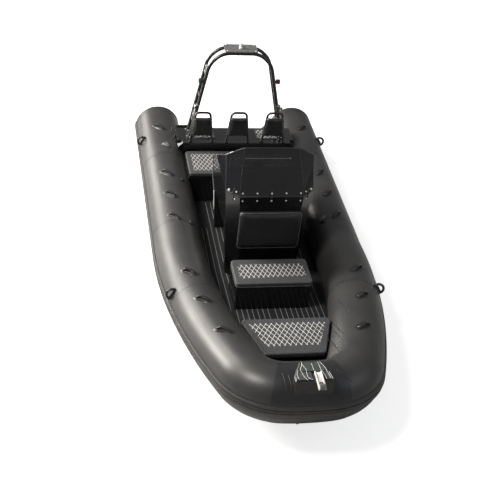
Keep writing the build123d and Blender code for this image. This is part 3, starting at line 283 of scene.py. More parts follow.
def rounded(points, r, inset=0.0, n=6):
    """A convex outline pulled in by inset, with its corners rounded to r."""
    pts = [Vector(p) for p in points]
    if sum(a.x * b.y - a.y * b.x for a, b in zip(pts, pts[1:] + pts[:1])) < 0:
        pts.reverse()
    if inset:
        lines = []
        for a, b in zip(pts, pts[1:] + pts[:1]):
            d = (b - a).normalized()
            lines.append((a + Vector((-d.y, d.x)) * inset, d))
        pts = []
        for (p, d), (q, e) in zip(lines[-1:] + lines[:-1], lines):
            pts.append(p + d * (((q - p).x * e.y - (q - p).y * e.x) / (d.x * e.y - d.y * e.x)))
    ring = []
    for i, p in enumerate(pts):
        a, b = (pts[i - 1] - p), (pts[(i + 1) % len(pts)] - p)
        la, lb = a.length, b.length
        a, b = a / la, b / lb
        half = a.angle(b) / 2
        cut = min(r / tan(half), la * 0.45, lb * 0.45)
        radius = cut * tan(half)
        centre = p + (a + b).normalized() * (radius / sin(half))
        t0, t1 = p + a * cut - centre, p + b * cut - centre
        a0 = atan2(t0.y, t0.x)
        sweep = (atan2(t1.y, t1.x) - a0 + pi) % (2 * pi) - pi
        ring += [centre + Vector((cos(a0 + sweep * k / n), sin(a0 + sweep * k / n))) * radius
                 for k in range(n + 1)]
    return ring


def inside(ring, x, y):
    hit = False
    for a, b in zip(ring, ring[1:] + ring[:1]):
        if (a[1] > y) != (b[1] > y) and x < (b[0] - a[0]) * (y - a[1]) / (b[1] - a[1]) + a[0]:
            hit = not hit
    return hit


def grooved(outline, lines, width, is_groove, depth, place, extra_cuts=()):
    """A sheet cut along lines, and raised by depth beside them; place gives points in the frame."""
    b = bmesh.new()
    b.faces.new([b.verts.new((p[0], p[1], 0)) for p in outline])
    for cuts, offsets in ((lines, (-width / 2, width / 2)), (extra_cuts, (0.0,))):
        for point, way in cuts:
            normal = Vector((-way[1], way[0], 0)).normalized()
            for offset in offsets:
                bmesh.ops.bisect_plane(
                    b, geom=b.verts[:] + b.edges[:] + b.faces[:], dist=1e-6, plane_no=normal,
                    plane_co=Vector((point[0], point[1], 0)) + normal * offset)
    raised = []
    for f in b.faces:
        c = f.calc_center_median()
        f.material_index = int(is_groove(c.x, c.y))
        if not f.material_index:
            raised.append(f)
    if raised:
        made = bmesh.ops.extrude_face_region(b, geom=raised)
        for f in raised:
            if f.is_valid:
                b.faces.remove(f)
        for v in made["geom"]:
            if isinstance(v, bmesh.types.BMVert):
                v.co.z = depth
    for f in b.faces:
        if f.material_index and any(v.co.z > 0 for v in f.verts):
            f.material_index = 0
    bmesh.ops.recalc_face_normals(b, faces=b.faces)
    for v in b.verts:
        v.co = place(v.co.x, v.co.y, v.co.z)
    return b


def skirt(b, rings):
    """Joins closed rings of points with quads, and gives the rings of vertices."""
    rings = [[b.verts.new(p) for p in ring] for ring in rings]
    for one, two in zip(rings, rings[1:]):
        for j in range(len(one)):
            k = (j + 1) % len(one)
            b.faces.new((one[j], one[k], two[k], two[j]))
    return rings


def near(lines, width):
    """Whether a point lies in the groove of any line."""
    table = [(p, Vector((-w[1], w[0])).normalized()) for p, w in lines]
    return lambda x, y: any(abs((x - p[0]) * n.x + (y - p[1]) * n.y) < width / 2 * 1.01
                            for p, n in table)


# -------- the air tube
TUBE_R, TUBE_Y, TUBE_Z, STERN_X = 0.25, 0.8, 0.3, -0.36
BEND_X, SHEER = 2.17345, radians(5.445)
ARCS = ((5.33557, 0.0, 20.055), (0.35, 20.055, 84.19), (1.809, 84.19, 90.0))
SUNK = -0.003  # the edges of what lies on the tube end this far below its surface


def port_path(step=0.004):
    """Centre, outward and upward direction along the port tube from its stern end to the bow."""
    rows = []
    for i in range(int((BEND_X - STERN_X) / step) + 1):
        rows.append((Vector((STERN_X + i * step, TUBE_Y, TUBE_Z)), Y, Z))
    for i in range(1, int(SHEER / step) + 1):
        a = i * step
        rows.append((Vector((BEND_X + sin(a), TUBE_Y, TUBE_Z + 1 - cos(a))), Y,
                     Vector((-sin(a), 0, cos(a)))))
    along, up = Vector((cos(SHEER), 0, sin(SHEER))), Vector((-sin(SHEER), 0, cos(SHEER)))
    at = Vector((BEND_X + sin(SHEER), TUBE_Y, TUBE_Z + 1 - cos(SHEER)))
    for r, t0, t1 in ARCS:
        t0, t1 = radians(t0), radians(t1)
        n = max(2, int(r * (t1 - t0) / step))
        for i in range(n + 1):
            t = t0 + (t1 - t0) * i / n
            p = at + along * r * (sin(t) - sin(t0)) + Y * r * (cos(t) - cos(t0))
            rows.append((p, along * sin(t) + Y * cos(t), up))
        at = rows[-1][0].copy()
    return rows


path_c, path_o, path_u = (np.array(column) for column in zip(*port_path()))
path_s = np.concatenate(([0], np.cumsum(np.linalg.norm(np.diff(path_c, axis=0), axis=1))))
keep = np.concatenate(([True], np.diff(path_s) > 1e-6))
path_c, path_o, path_u, path_s = path_c[keep], path_o[keep], path_u[keep], path_s[keep]
HALF = float(path_s[-1])
BOW_BEND = float(np.interp(radians(50), np.arccos(np.clip(path_o[:, 1], -1, 1)), path_s))


def tube_at(s):
    """Centre, outward and up at s metres from the port stern end, round the bow to starboard's."""
    t, mirror = (s, 1) if s <= HALF else (2 * HALF - s, -1)
    c, o, u = (Vector([float(np.interp(t, path_s, a[:, k])) for k in range(3)])
               for a in (path_c, path_o, path_u))
    for v in (c, o, u):
        v.y *= mirror
    return c, o.normalized(), u.normalized()


def on_tube(s, angle, rise=0.0):
    """A point on the tube, angle in radians from outboard over the top."""
    c, o, u = tube_at(s)
    return c + (o * cos(angle) + u * sin(angle)) * (TUBE_R + rise)


def on_side(s, side):
    """The same place on the port tube (side 1) or the starboard tube (side -1)."""
    return s if side > 0 else 2 * HALF - s


def stations(start, end, coarse=0.05, fine=0.008, reach=0.55):
    """Places along the tube, close together within reach of the bow's corners."""
    out, s = [], start
    while s < end - 1e-6:
        out.append(s)
        bow = min(abs(s - BOW_BEND), abs(s - 2 * HALF + BOW_BEND))
        s += fine if bow < reach else coarse
    return out + [end]


def wrinkle(s, a, reach=0.6):
    """Small folds where the fabric is pressed together inside the bow's corners."""
    total = 0.0
    for corner in (BOW_BEND, 2 * HALF - BOW_BEND):
        d = s - corner
        if abs(d) > reach:
            continue
        inner = max(0.0, -cos(a - 0.25)) ** 1.5
        fade = max(0.0, 1 - (d / reach) ** 2) ** 1.5
        total += inner * fade * (0.0022 * sin(d * 150 + 3 * sin(a * 3)) +
                                 0.0016 * sin(d * 83 + 1.3 + 2.0 * a))
    return total


def oval(s0, angle, half_s, half_c, power, n, rise, slant=0.0):
    """The outline of a rounded rectangle on the tube."""
    ring = []
    for t in turn(n):
        r = round_corner(t, power)
        u, v = half_s * r * cos(t), half_c * r * sin(t)
        ring.append(on_tube(s0 + u * cos(slant) - v * sin(slant),
                            angle + (u * sin(slant) + v * cos(slant)) / TUBE_R, rise))
    return ring


def round_corner(t, power):
    """Radius of a rounded square with half sides of 1 at angle t."""
    return (abs(cos(t)) ** power + abs(sin(t)) ** power) ** (-1 / power)


def patch(shape, s0, angle, half_s, half_c, height, power=2.6, rings=6, n=48, slant=0.0):
    """A rounded patch on the tube with rise height(k), where k goes from 0 in the middle to 1."""
    loops = [oval(s0, angle, k * half_s, k * half_c, power, n, height(k), slant)
             for k in [0.04] + [i / rings for i in range(1, rings + 1)]]
    shape.loft(loops + [oval(s0, angle, half_s, half_c, power, n, SUNK, slant)])


def edge_drop(k):
    """1 over a patch, falling to 0 at its edge."""
    return 1 - max(0, (k - 0.9) / 0.1) ** 2


AROUND = turn(72)
collar = Shape()
collar.loft([[on_tube(s, a, wrinkle(s, a)) for a in AROUND] for s in stations(0.0, 2 * HALF)])
collar.make("collar", "collar", stands=("tube_collar",), sharp=60)

# Seam tapes round the tubes
TAPE_SUNK, TAPE_RISE, TAPE_EDGE = -0.002, 0.0012, 0.0008
tapes = Shape()
for s, half in ((0.05, 0.03), (1.02, 0.022), (2.28, 0.022), (3.42, 0.022)):
    for where in (s, 2 * HALF - s):
        tapes.loft([[on_tube(t, q, h) for q in AROUND] for t, h in (
            (where - half, TAPE_SUNK), (where - half + TAPE_EDGE, TAPE_RISE),
            (where + half - TAPE_EDGE, TAPE_RISE), (where + half, TAPE_SUNK))], ends=False)
tapes.make("seam_tapes", "tape", sharp=60)

# A doubled patch over the bow; its near-black is partly the patch's own tone and partly painted
# dark reflection
NOSE_RISE = 0.0018
nose = Shape()
nose_angles = [radians(-62 + 172 * i / 60) for i in range(61)]
nose_spots = [(4.810, -0.002), (4.811, NOSE_RISE)]
nose_spots += [(q, NOSE_RISE) for q in stations(4.82, 2 * HALF - 4.82, 0.02)]
nose_spots += [(2 * HALF - s, rise) for s, rise in nose_spots[1::-1]]
nose.loft([[on_tube(s0, nose_angles[0], SUNK)] +
           [on_tube(s0, a, rise + wrinkle(s0, a)) for a in nose_angles] +
           [on_tube(s0, nose_angles[-1], SUNK)] for s0, rise in nose_spots],
          closed=False, ends=False)
nose.make("nose_patch", "nose", slot="collar", sharp=50)


def crease(shape, side, s0, a0, s1, a1, lift):
    path = []
    for i in range(21):
        t = i / 20
        q, a = s0 + (s1 - s0) * t, radians(a0 + (a1 - a0) * t)
        path.append(on_tube(on_side(q, side), a + 0.03 * sin(pi * t), -0.0012 + lift * sin(pi * t)))
    shape.pipe(path, 0.0038, 8)


# Pressed folds beside the bow step and the aft shelf, from (path, degrees) to (path, degrees)
for name, mat, lift, places in (
    ("fabric_folds", "tape", 0.0022, (
        (-1, 4.856, 75, 4.888, 40), (-1, 4.896, 72, 4.925, 37), (-1, 4.937, 67, 4.953, 48),
        (1, 4.860, 80, 4.791, 48), (1, 4.892, 46, 4.949, 36), (1, 3.955, 155, 4.296, 120),
        (1, 4.107, 150, 4.460, 111), (1, 4.187, 162, 4.581, 119), (1, 3.678, 137, 3.951, 112))),
    # The stern folds are drawn in the paler grey as a painted highlight along their ridges
    ("stern_folds_painted_highlight", "piping", 0.0050, (
        (-1, 0.540, 127, 0.764, 106), (-1, 0.608, 134, 0.820, 107), (-1, 0.664, 133, 0.868, 108),
        (-1, 0.800, 94, 0.920, 101), (-1, 0.436, 118, 0.560, 111))),
):
    creases = Shape()
    for ends in places:
        crease(creases, *ends, lift)
    creases.make(name, mat, slot="collar", sharp=60)

# Outer rub strake: a base lap with ribs, as (distance round the tube, rise)
base = [(-0.055, -0.003), (-0.055, 0.004), (-0.046, 0.006), (-0.040, 0.006)]
ribs = []
for mid, half, top in ((-0.026, 0.013, 0.011), (0.0, 0.010, 0.014), (0.026, 0.013, 0.011)):
    ribs += [(mid - half, 0.006), (mid - half * 0.8, top - 0.0015), (mid - half * 0.45, top),
             (mid + half * 0.45, top), (mid + half * 0.8, top - 0.0015), (mid + half, 0.006)]
profile = base + ribs + [(-c, h) for c, h in reversed(base)]
strake = Shape()
strake.loft([[on_tube(s, c / TUBE_R, h) for c, h in profile]
             for s in stations(0.0, 2 * HALF, 0.04, 0.012)])
strake.make("strake", "strake", stands=("rub_strake",), sharp=25)

# Stern cones with moulded rings, as (radius, distance aft of the tube's end)
CONE_LENGTH, CONE_DROP, TIP_R = 0.28, 0.18, 0.052
prof = [(TUBE_R + 0.0012, -0.012), (TUBE_R + 0.0012, 0.0)]
for d in (0.02, 0.022, 0.05, 0.052, 0.10, 0.102, 0.16, 0.162, 0.21, 0.235):
    ring_up = 0.0025 if 0.021 < d < 0.051 or 0.101 < d < 0.161 else 0.0
    prof.append((TUBE_R - CONE_DROP * d / CONE_LENGTH + ring_up, d))
for k in range(1, 8):
    prof.append((max(0.0, TIP_R + 0.05 * cos(pi / 2 * k / 7)), 0.235 + 0.045 * sin(pi / 2 * k / 7)))
prof.append((0.03, CONE_LENGTH))
cones = Shape()
for side in (1, -1):
    cones.lathe((STERN_X, side * TUBE_Y, TUBE_Z), -X, prof, 64)
cones.make("stern_cones", "strake", stands=("tube_cones",), sharp=30)

# Lifeline loops: a lozenge-shaped ribbed patch slantwise over the tube, and a moulded strap on it
LOOP_S = (0.474, 1.434, 1.838, 2.234, 3.230, 3.678, 4.159)
LOOP_ANGLE, LOOP_TURN, LOOP_RIBS = radians(84), radians(50), 3.5
LOOP_HALF_LONG, LOOP_HALF_WIDE, STRAP_HALF = 0.094, 0.041, 0.068
STRAP_SECTION = ((-1, -0.004), (-1, 0.001), (-0.75, 0.0042), (-0.35, 0.0030), (0, 0.0048),
                 (0.35, 0.0030), (0.75, 0.0042), (1, 0.001), (1, -0.004), (0, -0.0055))
loops, bridges = Shape(), Shape()
for s_port in LOOP_S:
    for side in (1, -1):
        s0, slant = on_side(s_port, side), -LOOP_TURN * side

        def slanted(p, q, rise, s0=s0, slant=slant):
            """p metres along the strap and q across it."""
            u, v = q * cos(slant) - p * sin(slant), q * sin(slant) + p * cos(slant)
            return on_tube(s0 + u, LOOP_ANGLE + v / TUBE_R, rise)

        rings = []
        for k in [0.03] + [i / 14 for i in range(1, 15)] + [1.0]:
            ring = []
            for t in turn(56):
                r = round_corner(t, 3)
                p, q = k * LOOP_HALF_LONG * r * cos(t), k * LOOP_HALF_WIDE * r * sin(t)
                p -= 0.25 * q * side
                wave = sin((q + LOOP_HALF_WIDE) / (2 * LOOP_HALF_WIDE) * 2 * pi * LOOP_RIBS)
                rib = 0.0030 * max(0, wave) ** 0.5 if k < 0.86 else 0
                lift = SUNK if len(rings) == 15 else (0.003 + rib) * edge_drop(k)
                ring.append(slanted(p, q, lift))
            rings.append(ring)
        loops.loft(rings)
        rings = []
        for i in range(25):
            t = i / 24 * 2 - 1
            rise = 0.004 + 0.024 * (1 - abs(t) ** 2.6) * (1 - 0.35 * t)
            wide = 0.0115 + 0.007 * abs(t) ** 2
            rings.append([slanted(t * STRAP_HALF, u * wide, max(0.001, rise + h))
                          for u, h in STRAP_SECTION])
        bridges.loft(rings)
loops.make("loop_patches", "grip", stands=("line_loops",), sharp=40)
bridges.make("loop_bridges", "strap", slot="grip", sharp=50)

# Towing rings outside the tubes, each on a round patch with a hinge boss
RING_S, RING_ANGLE, RING_R, RING_WIRE = (0.584, 3.378), radians(30), 0.050, 0.0118
ring_patches, ring_dees = Shape(), Shape()
for s_port in RING_S:
    for side in (1, -1):
        s0 = on_side(s_port, side)
        patch(ring_patches, s0, RING_ANGLE, 0.06, 0.06,
              lambda k: 0.0045 * edge_drop(k) + (0.0012 if k < 0.55 else 0), power=2, rings=10)
        patch(ring_patches, s0, RING_ANGLE, 0.016, 0.058, lambda k: 0.010 * (1 - 0.4 * k * k),
              rings=5, n=24)
        c, o, u = tube_at(s0)
        out = o * cos(RING_ANGLE) + u * sin(RING_ANGLE)
        round_way = (u * cos(RING_ANGLE) - o * sin(RING_ANGLE)).normalized()
        foot = on_tube(s0, RING_ANGLE, 0.006)
        ring_dees.pipe([foot + out * max(-0.010, 0.052 * sin(a)) + round_way * RING_R * cos(a)
                        for a in turn(40)], RING_WIRE, 14, around=True)
        ring_dees.block(on_tube(s0, RING_ANGLE, 0.010), (0.030, 0.10, 0.020),
                        (out.cross(round_way), round_way, out), cut=0.004)
ring_patches.make("ring_patches", "grip", stands=("tow_rings",), sharp=40)
ring_dees.make("ring_dees", "strap", slot="grip")

# Inflation valves
VALVE_ANGLE = radians(120)
valve = Shape()
for x in (1.164, 1.944):
    for side in (1, -1):
        s0 = on_side(float(np.interp(x, path_c[:, 0], path_s)), side)
        patch(valve, s0, VALVE_ANGLE, 0.032, 0.032,
              lambda k: 0.0105 if k < 0.45 else 0.006 + 0.0015 * (0.6 < k < 0.85), 2, 12, 40)
        c, o, u = tube_at(s0)
        valve.lathe(on_tube(s0, VALVE_ANGLE, 0.004), o * cos(VALVE_ANGLE) + u * sin(VALVE_ANGLE),
                    [(0.018, 0), (0.018, 0.008), (0.0165, 0.0105), (0.006, 0.0112), (0, 0.0112)],
                    10)

# Two straps on the tubes, each with a rim: the straps' pale grey is partly their own tone and
# partly painted light, and the rims' near-black is a painted shadow line round their edges
STRAP_POWER = 2.4
handle, handle_rim = Shape(), Shape()
for s0, a0, slant in ((2.262, 119, 62), (2 * HALF - 0.872, 93, -50)):
    a0, slant = radians(a0), radians(slant)
    patch(handle, s0, a0, 0.052, 0.024, lambda k: 0.004 + 0.016 * (1 - k * k) ** 0.5,
          STRAP_POWER, 10, 40, slant)
    handle_rim.pipe(oval(s0, a0, 0.054, 0.026, STRAP_POWER, 48, 0.002, slant), 0.0042, 8,
                    around=True)
handle.make("tube_straps", "webbing", slot="grip", sharp=50)
handle_rim.make("tube_strap_painted_shadow_rims", "dark", slot="grip", sharp=60)
valve.make("valve_caps", "grip", stands=("valves",), sharp=30)


# -------- foam pads with cut diamonds
def diamonds(pitch_x, pitch_y, middle_x, reach):
    return [((middle_x, k * pitch_y), (pitch_x, side * pitch_y))
            for k in range(-reach, reach + 1) for side in (1, -1)]


PAD_GROOVE, GROOVE_DEPTH, PAD_CROWN, PAD_EDGE = 0.0065, 0.002, 0.004, 0.010


def foam_pad(name, node, body, corners, low, top, field, pitch=(0.085, 0.046), corner_r=0.035):
    """A foam pad with rounded edges, whose diamonds stand between pale grooves."""
    outline = rounded(corners, corner_r, PAD_EDGE)
    xs, ys = [p.x for p in outline], [p.y for p in outline]
    mx, my = (min(xs) + max(xs)) / 2, (min(ys) + max(ys)) / 2
    hx, hy = (max(xs) - min(xs)) / 2, (max(ys) - min(ys)) / 2
    lines = [q for q in diamonds(*pitch, mx, 60) if abs(q[0][1]) < hy + pitch[1] * 6]
    in_groove = near(lines, PAD_GROOVE)
    field_ring = [(p.x, p.y) for p in rounded(field, 0.02)]

    def place(x, y, h):
        rise = max(0, 1 - ((x - mx) / hx) ** 2) * max(0, 1 - ((y - my) / hy) ** 2)
        return Vector((x, y, top - GROOVE_DEPTH + h + PAD_CROWN * rise - 0.001))

    edges = [((a[0], a[1]), (b[0] - a[0], b[1] - a[1]))
             for a, b in zip(field, field[1:] + field[:1])]
    b = grooved(outline, lines, PAD_GROOVE,
                lambda x, y: inside(field_ring, x, y) and in_groove(x, y), GROOVE_DEPTH, place,
                edges)
    rings = skirt(b, [[(p.x, p.y, z) for p in rounded(corners, corner_r, inset)] for inset, z in (
        (PAD_EDGE, top - 0.001), (0.006, top - 0.0018), (0.0025, top - 0.005), (0.0, top - 0.011),
        (0.0015, (low + top) / 2), (0.0, low + 0.008), (0.003, low + 0.001), (PAD_EDGE, low))])
    b.faces.new(rings[-1][::-1])
    mesh = outward(b, bpy.data.meshes.new(name))
    o = finish_piece(name, mesh, ("pad", "diamond"), body, (node,), "pad", 30)


bench_lo, bench_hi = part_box("bench_pad")
seat_lo, seat_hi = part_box("front_seat_pad")
lock_lo, lock_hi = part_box("bow_locker_pad")
LOCK_FRONT = 0.2709  # half width of the bow locker's pad at its front


def oblong(lo, hi, inset_x=0.0, inset_y=0.0):
    return [(lo.x + inset_x, lo.y + inset_y), (hi.x - inset_x, lo.y + inset_y),
            (hi.x - inset_x, hi.y - inset_y), (lo.x + inset_x, hi.y - inset_y)]


foam_pad("bench_cushion", "bench_pad", "bench_lid", oblong(bench_lo, bench_hi),
         bench_lo.z, bench_hi.z, oblong(bench_lo, bench_hi, 0.06, 0.05), corner_r=0.03)
foam_pad("front_seat_cushion", "front_seat_pad", "front_seat_lid", oblong(seat_lo, seat_hi),
         seat_lo.z, seat_hi.z, [(2.64, -0.315), (2.85, -0.315), (2.83, 0.315), (2.64, 0.315)])
# A welt round the front seat pad's lower front edge; its pale grey is a painted highlight along
# that edge
seat_welt = Shape()
seat_corners = [(p.x, p.y) for p in rounded(oblong(seat_lo, seat_hi), 0.035, 0.0008) if p.x > 2.62]
seat_path = [(2.60, seat_corners[0][1])] + seat_corners + [(2.60, seat_corners[-1][1])]
seat_welt.pipe([(x, y, seat_lo.z + 0.004) for x, y in seat_path], 0.0035, 8)
seat_welt.make("front_seat_welt_painted_highlight", "piping", slot="pad", body="front_seat_lid")
foam_pad("bow_locker_cushion", "bow_locker_pad", "bow_locker_lid",
         [(lock_lo.x, lock_lo.y), (lock_hi.x, -LOCK_FRONT), (lock_hi.x, LOCK_FRONT),
          (lock_lo.x, lock_hi.y)], lock_lo.z, lock_hi.z,
         [(3.50, -0.35), (3.80, -0.235), (3.80, 0.235), (3.50, 0.35)], pitch=(0.080, 0.048))


# -------- sole mat, deck mats and bow step
def hull_2d(points):
    """The convex outline round points, seen from above."""
    pts = sorted(set((round(p[0], 5), round(p[1], 5)) for p in points))
    out = []
    for seq in (pts, pts[::-1]):
        part = []
        for p in seq:
            while len(part) > 1 and ((part[-1][0] - part[-2][0]) * (p[1] - part[-2][1]) -
                                     (part[-1][1] - part[-2][1]) * (p[0] - part[-2][0])) <= 0:
                part.pop()
            part.append(p)
        out += part[:-1]
    return out


def mat_sheet(name, outline, lines, width, depth, height, mats, stands=(), slot="mat", wanted=None,
              cuts=(), thick=0.004):
    """A thin foam sheet: dark planks over a pale layer that shows in the cut lines."""
    in_groove = near(lines, width)
    b = grooved(outline, lines, width,
                lambda x, y: in_groove(x, y) and (wanted is None or wanted(x, y)), depth,
                lambda x, y, h: Vector((x, y, height(x) - depth + h)), cuts)
    skirt(b, [[(p[0], p[1], height(p[0]) - drop) for p in outline] for drop in (0.0002, thick)])
    finish_piece(name, outward(b, bpy.data.meshes.new(name)), mats, "boat", stands, slot, 30)


SOLE_Z, SHEER_X, SOLE_MAT = 0.130, 2.221, 0.006
mat_outline = hull_2d([v.co for v in nodes["deck_mat"].data.vertices])
plank = [((2.0, side * (0.035 + 0.05 * k)), (1, 0)) for k in range(12) for side in (1, -1)]
mat_sheet("sole_mat", mat_outline, plank, 0.0062, 0.0015,
          lambda x: SOLE_Z + max(0.0, x - SHEER_X) * tan(SHEER) + SOLE_MAT, ("mat", "line"),
          ("deck_mat",),
          wanted=lambda x, y: (abs(y) < 0.40 and x > 1.03) or (abs(y) < 0.50 and x > 1.5),
          cuts=[((x, 0), (0, 1)) for x in (SHEER_X, 1.03, 1.5, 2.9, 3.45)])

fore_lo, fore_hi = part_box("foredeck")
fore_outline = [(fore_lo.x + 0.012, -0.262), (fore_hi.x - 0.02, -0.075), (fore_hi.x - 0.02, 0.075),
                (fore_lo.x + 0.012, 0.262)]
mat_sheet("foredeck_mat", rounded(fore_outline, 0.015, 0.004), [], 0.0045, 0.0012,
          lambda x: fore_hi.z + 0.004, ("mat", "line"))

step_lo, step_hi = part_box("bow_step")
SHOULDER_X, NOTCH_X, NOTCH_LO, NOTCH_HI = step_hi.x - 0.070, step_hi.x - 0.100, -0.015, 0.085
side_plate = lambda side, inner: [
    (NOTCH_X, inner), (NOTCH_X, side * 0.126), (SHOULDER_X, side * 0.146),
    (step_hi.x - 0.01, side * 0.146), (step_hi.x - 0.01, inner)]
for name, corners in (
    ("aft", [(step_lo.x + 0.01, -0.078), (NOTCH_X - 0.004, -0.125), (NOTCH_X - 0.004, 0.125),
             (step_lo.x + 0.01, 0.078)]),
    ("port", side_plate(1, NOTCH_HI)), ("starboard", side_plate(-1, NOTCH_LO)),
):
    mat_sheet("step_mat_" + name, rounded(corners, 0.006, 0.003), [], 0.004, 0.0012,
              lambda x: step_hi.z + 0.0035, ("step", "diamond"), thick=0.0035)

# Pale inlaid lines of the bow plate and the foredeck, as (x, y) paths
step_lines = (
    ((4.304, -0.072), (4.332, -0.074), (4.397, -0.098), (4.474, -0.083), (4.512, -0.061)),
    ((4.332, -0.074), (4.390, -0.050), (4.447, -0.055), (4.488, -0.050), (4.510, -0.020)),
    ((4.400, -0.118), (4.445, -0.136), (4.500, -0.128)), ((4.326, 0.005), (4.403, 0.010)),
    ((4.308, 0.060), (4.405, 0.070), (4.470, 0.088), (4.508, 0.092)),
    ((4.308, 0.074), (4.373, 0.108), (4.440, 0.118), (4.500, 0.128)),
    ((4.425, 0.130), (4.505, 0.144)))
fore_lines = [((3.938, -0.200), (3.938, 0.200))] + [
    [(x, side * y) for x, y in path] for side in (1, -1) for path in (
        ((3.945, 0.151), (4.034, 0.085)), ((3.993, 0.016), (4.061, 0.051)),
        ((3.950, 0.090), (4.020, 0.060)))]
inlay = Shape()
for z, paths in ((step_hi.z + 0.0036, step_lines), (fore_hi.z + 0.0042, fore_lines)):
    for path in paths:
        inlay.pipe([(x, y, z) for x, y in path], 0.0018, 8, flat=0.45, up=Z)
inlay.make("inlaid_lines", "diamond", slot="mat", sharp=60)

shelf_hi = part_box("aft_shelf")[1]
for side, name in ((1, "port"), (-1, "starboard")):
    y0, y1 = sorted((side * 0.235, side * 0.475))
    mat_sheet("shelf_mat_" + name,
              rounded([(0.225, y0), (0.43, y0), (0.43, y1), (0.225, y1)], 0.02),
              diamonds(0.085, 0.046, 0.33, 16), PAD_GROOVE, 0.0015,
              lambda x: shelf_hi.z + 0.005, ("pad", "diamond"), slot="pad",
              wanted=lambda x, y: 0.24 < x < 0.415 and 0.25 < abs(y) < 0.46, thick=0.005,
              cuts=[((0.24, 0), (0, 1)), ((0.415, 0), (0, 1)), ((0.3, side * 0.25), (1, 0)),
                    ((0.3, side * 0.46), (1, 0))])


# -------- upholstered cushions
CLOTH_FRAMES, CLOTH_PRESSURE = 20, 4.0


def evaluated(o):
    return o.evaluated_get(bpy.context.evaluated_depsgraph_get())


def freeze(o):
    """Bakes an object's modifiers into its mesh."""
    mesh = bpy.data.meshes.new_from_object(evaluated(o))
    o.modifiers.clear()
    o.data = mesh
    return mesh


def puff(o, swell, voxel, back_x):
    """Inflates a closed shape as cloth under pressure by at most swell; its back stays flat."""
    remesh = o.modifiers.new("remesh", "REMESH")
    remesh.mode, remesh.voxel_size = "VOXEL", voxel
    mesh = freeze(o)
    rest = np.empty(len(mesh.vertices) * 3)
    mesh.vertices.foreach_get("co", rest)
    rest = rest.reshape(-1, 3)
    cloth = o.modifiers.new("cloth", "CLOTH")
    cloth.settings.use_pressure = True
    cloth.settings.uniform_pressure_force = CLOTH_PRESSURE
    cloth.settings.effector_weights.gravity = 0
    cloth.settings.quality = 5
    cloth.point_cache.frame_end = CLOTH_FRAMES
    for f in range(1, CLOTH_FRAMES + 1):
        scene.frame_set(f)
    moved = np.empty(len(mesh.vertices) * 3)
    evaluated(o).data.vertices.foreach_get("co", moved)
    shift = moved.reshape(-1, 3) - rest
    length = np.linalg.norm(shift, axis=1)[:, None] + 1e-9
    rest = rest + shift * np.minimum(1, swell / length)
    o.modifiers.clear()
    scene.frame_set(1)
    rest[:, 0] = np.maximum(rest[:, 0], back_x)
    mesh.vertices.foreach_set("co", rest.ravel())
    mesh.update()


def cushion(name, node, corners, back_x, thick, corner_r, swell, voxel):
    """corners are (y, z); the cushion stands on back_x and bulges forward."""
    shape = Shape()
    shape.loft([[Vector((back_x + thick * share, p.x, p.y))
                 for p in rounded(corners, corner_r, inset, 8)]
                for inset, share in ((0.010, 0.0), (0.004, 0.05), (0.002, 0.30), (0.002, 0.62),
                                     (0.006, 0.80), (0.016, 0.90), (0.035, 0.955), (0.06, 0.985))])
    o = add_object(name, shape.mesh(name))
    puff(o, swell, voxel, back_x)
    sub = o.modifiers.new("smooth", "SUBSURF")
    sub.levels = sub.render_levels = 1
    mesh = freeze(o)
    mesh.materials.clear()
    mesh.materials.append(M["cushion"])
    smooth(mesh)
    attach(o, "boat")
    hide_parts(node)


rest_lo, rest_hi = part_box("backrest_pads")
REST_PITCH, REST_LOW, REST_TOP = 0.400, 0.124, 0.097
welts = Shape()
for k, label in ((-1, "starboard"), (0, "middle"), (1, "port")):
    y = k * REST_PITCH
    low, top = rest_lo.z + 0.004, rest_hi.z - 0.004
    shape_pts = [(y - REST_LOW + 0.003, low), (y + REST_LOW - 0.003, low),
                 (y + REST_TOP - 0.003, top), (y - REST_TOP + 0.003, top)]
    cushion("backrest_" + label, "backrest_pads", shape_pts, rest_lo.x, rest_hi.x - rest_lo.x,
            0.022, 0.006, 0.005)
    loop = rounded(shape_pts, 0.022, 0.004, 8)
    welts.pipe([(rest_lo.x + 0.025, p.x, p.y) for p in loop], 0.0028, 8, around=True)

front_lo, front_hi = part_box("front_rest")
front_pts = [(front_lo.y - 0.018, front_lo.z + 0.004), (front_hi.y + 0.018, front_lo.z + 0.004),
             (front_hi.y + 0.018, front_hi.z - 0.002), (front_lo.y - 0.018, front_hi.z - 0.002)]
cushion("front_backrest", "front_rest", front_pts, front_lo.x, front_hi.x - front_lo.x - 0.012,
        0.035, 0.010, 0.0065)
front_loop = rounded(front_pts, 0.035, 0.006, 8)
welts.pipe([(front_lo.x + 0.058, p.x, p.y) for p in front_loop], 0.0042, 10, around=True)
# The welts' pale grey is partly their own tone and partly painted highlight along their edges
welts.make("cushion_piping", "piping", slot="cushion")


# -------- screen, screws, console
def screw(shape, place, out, r=0.0075, h=0.0035, n=14):
    shape.lathe(Vector(place) - Vector(out).normalized() * 0.002, out,
                [(r, 0), (r, 0.002 + h * 0.35), (r * 0.8, 0.002 + h * 0.85), (r * 0.35, 0.002 + h),
                 (r * 0.3, 0.002 + h * 0.6), (0.0, 0.002 + h * 0.6)], n)


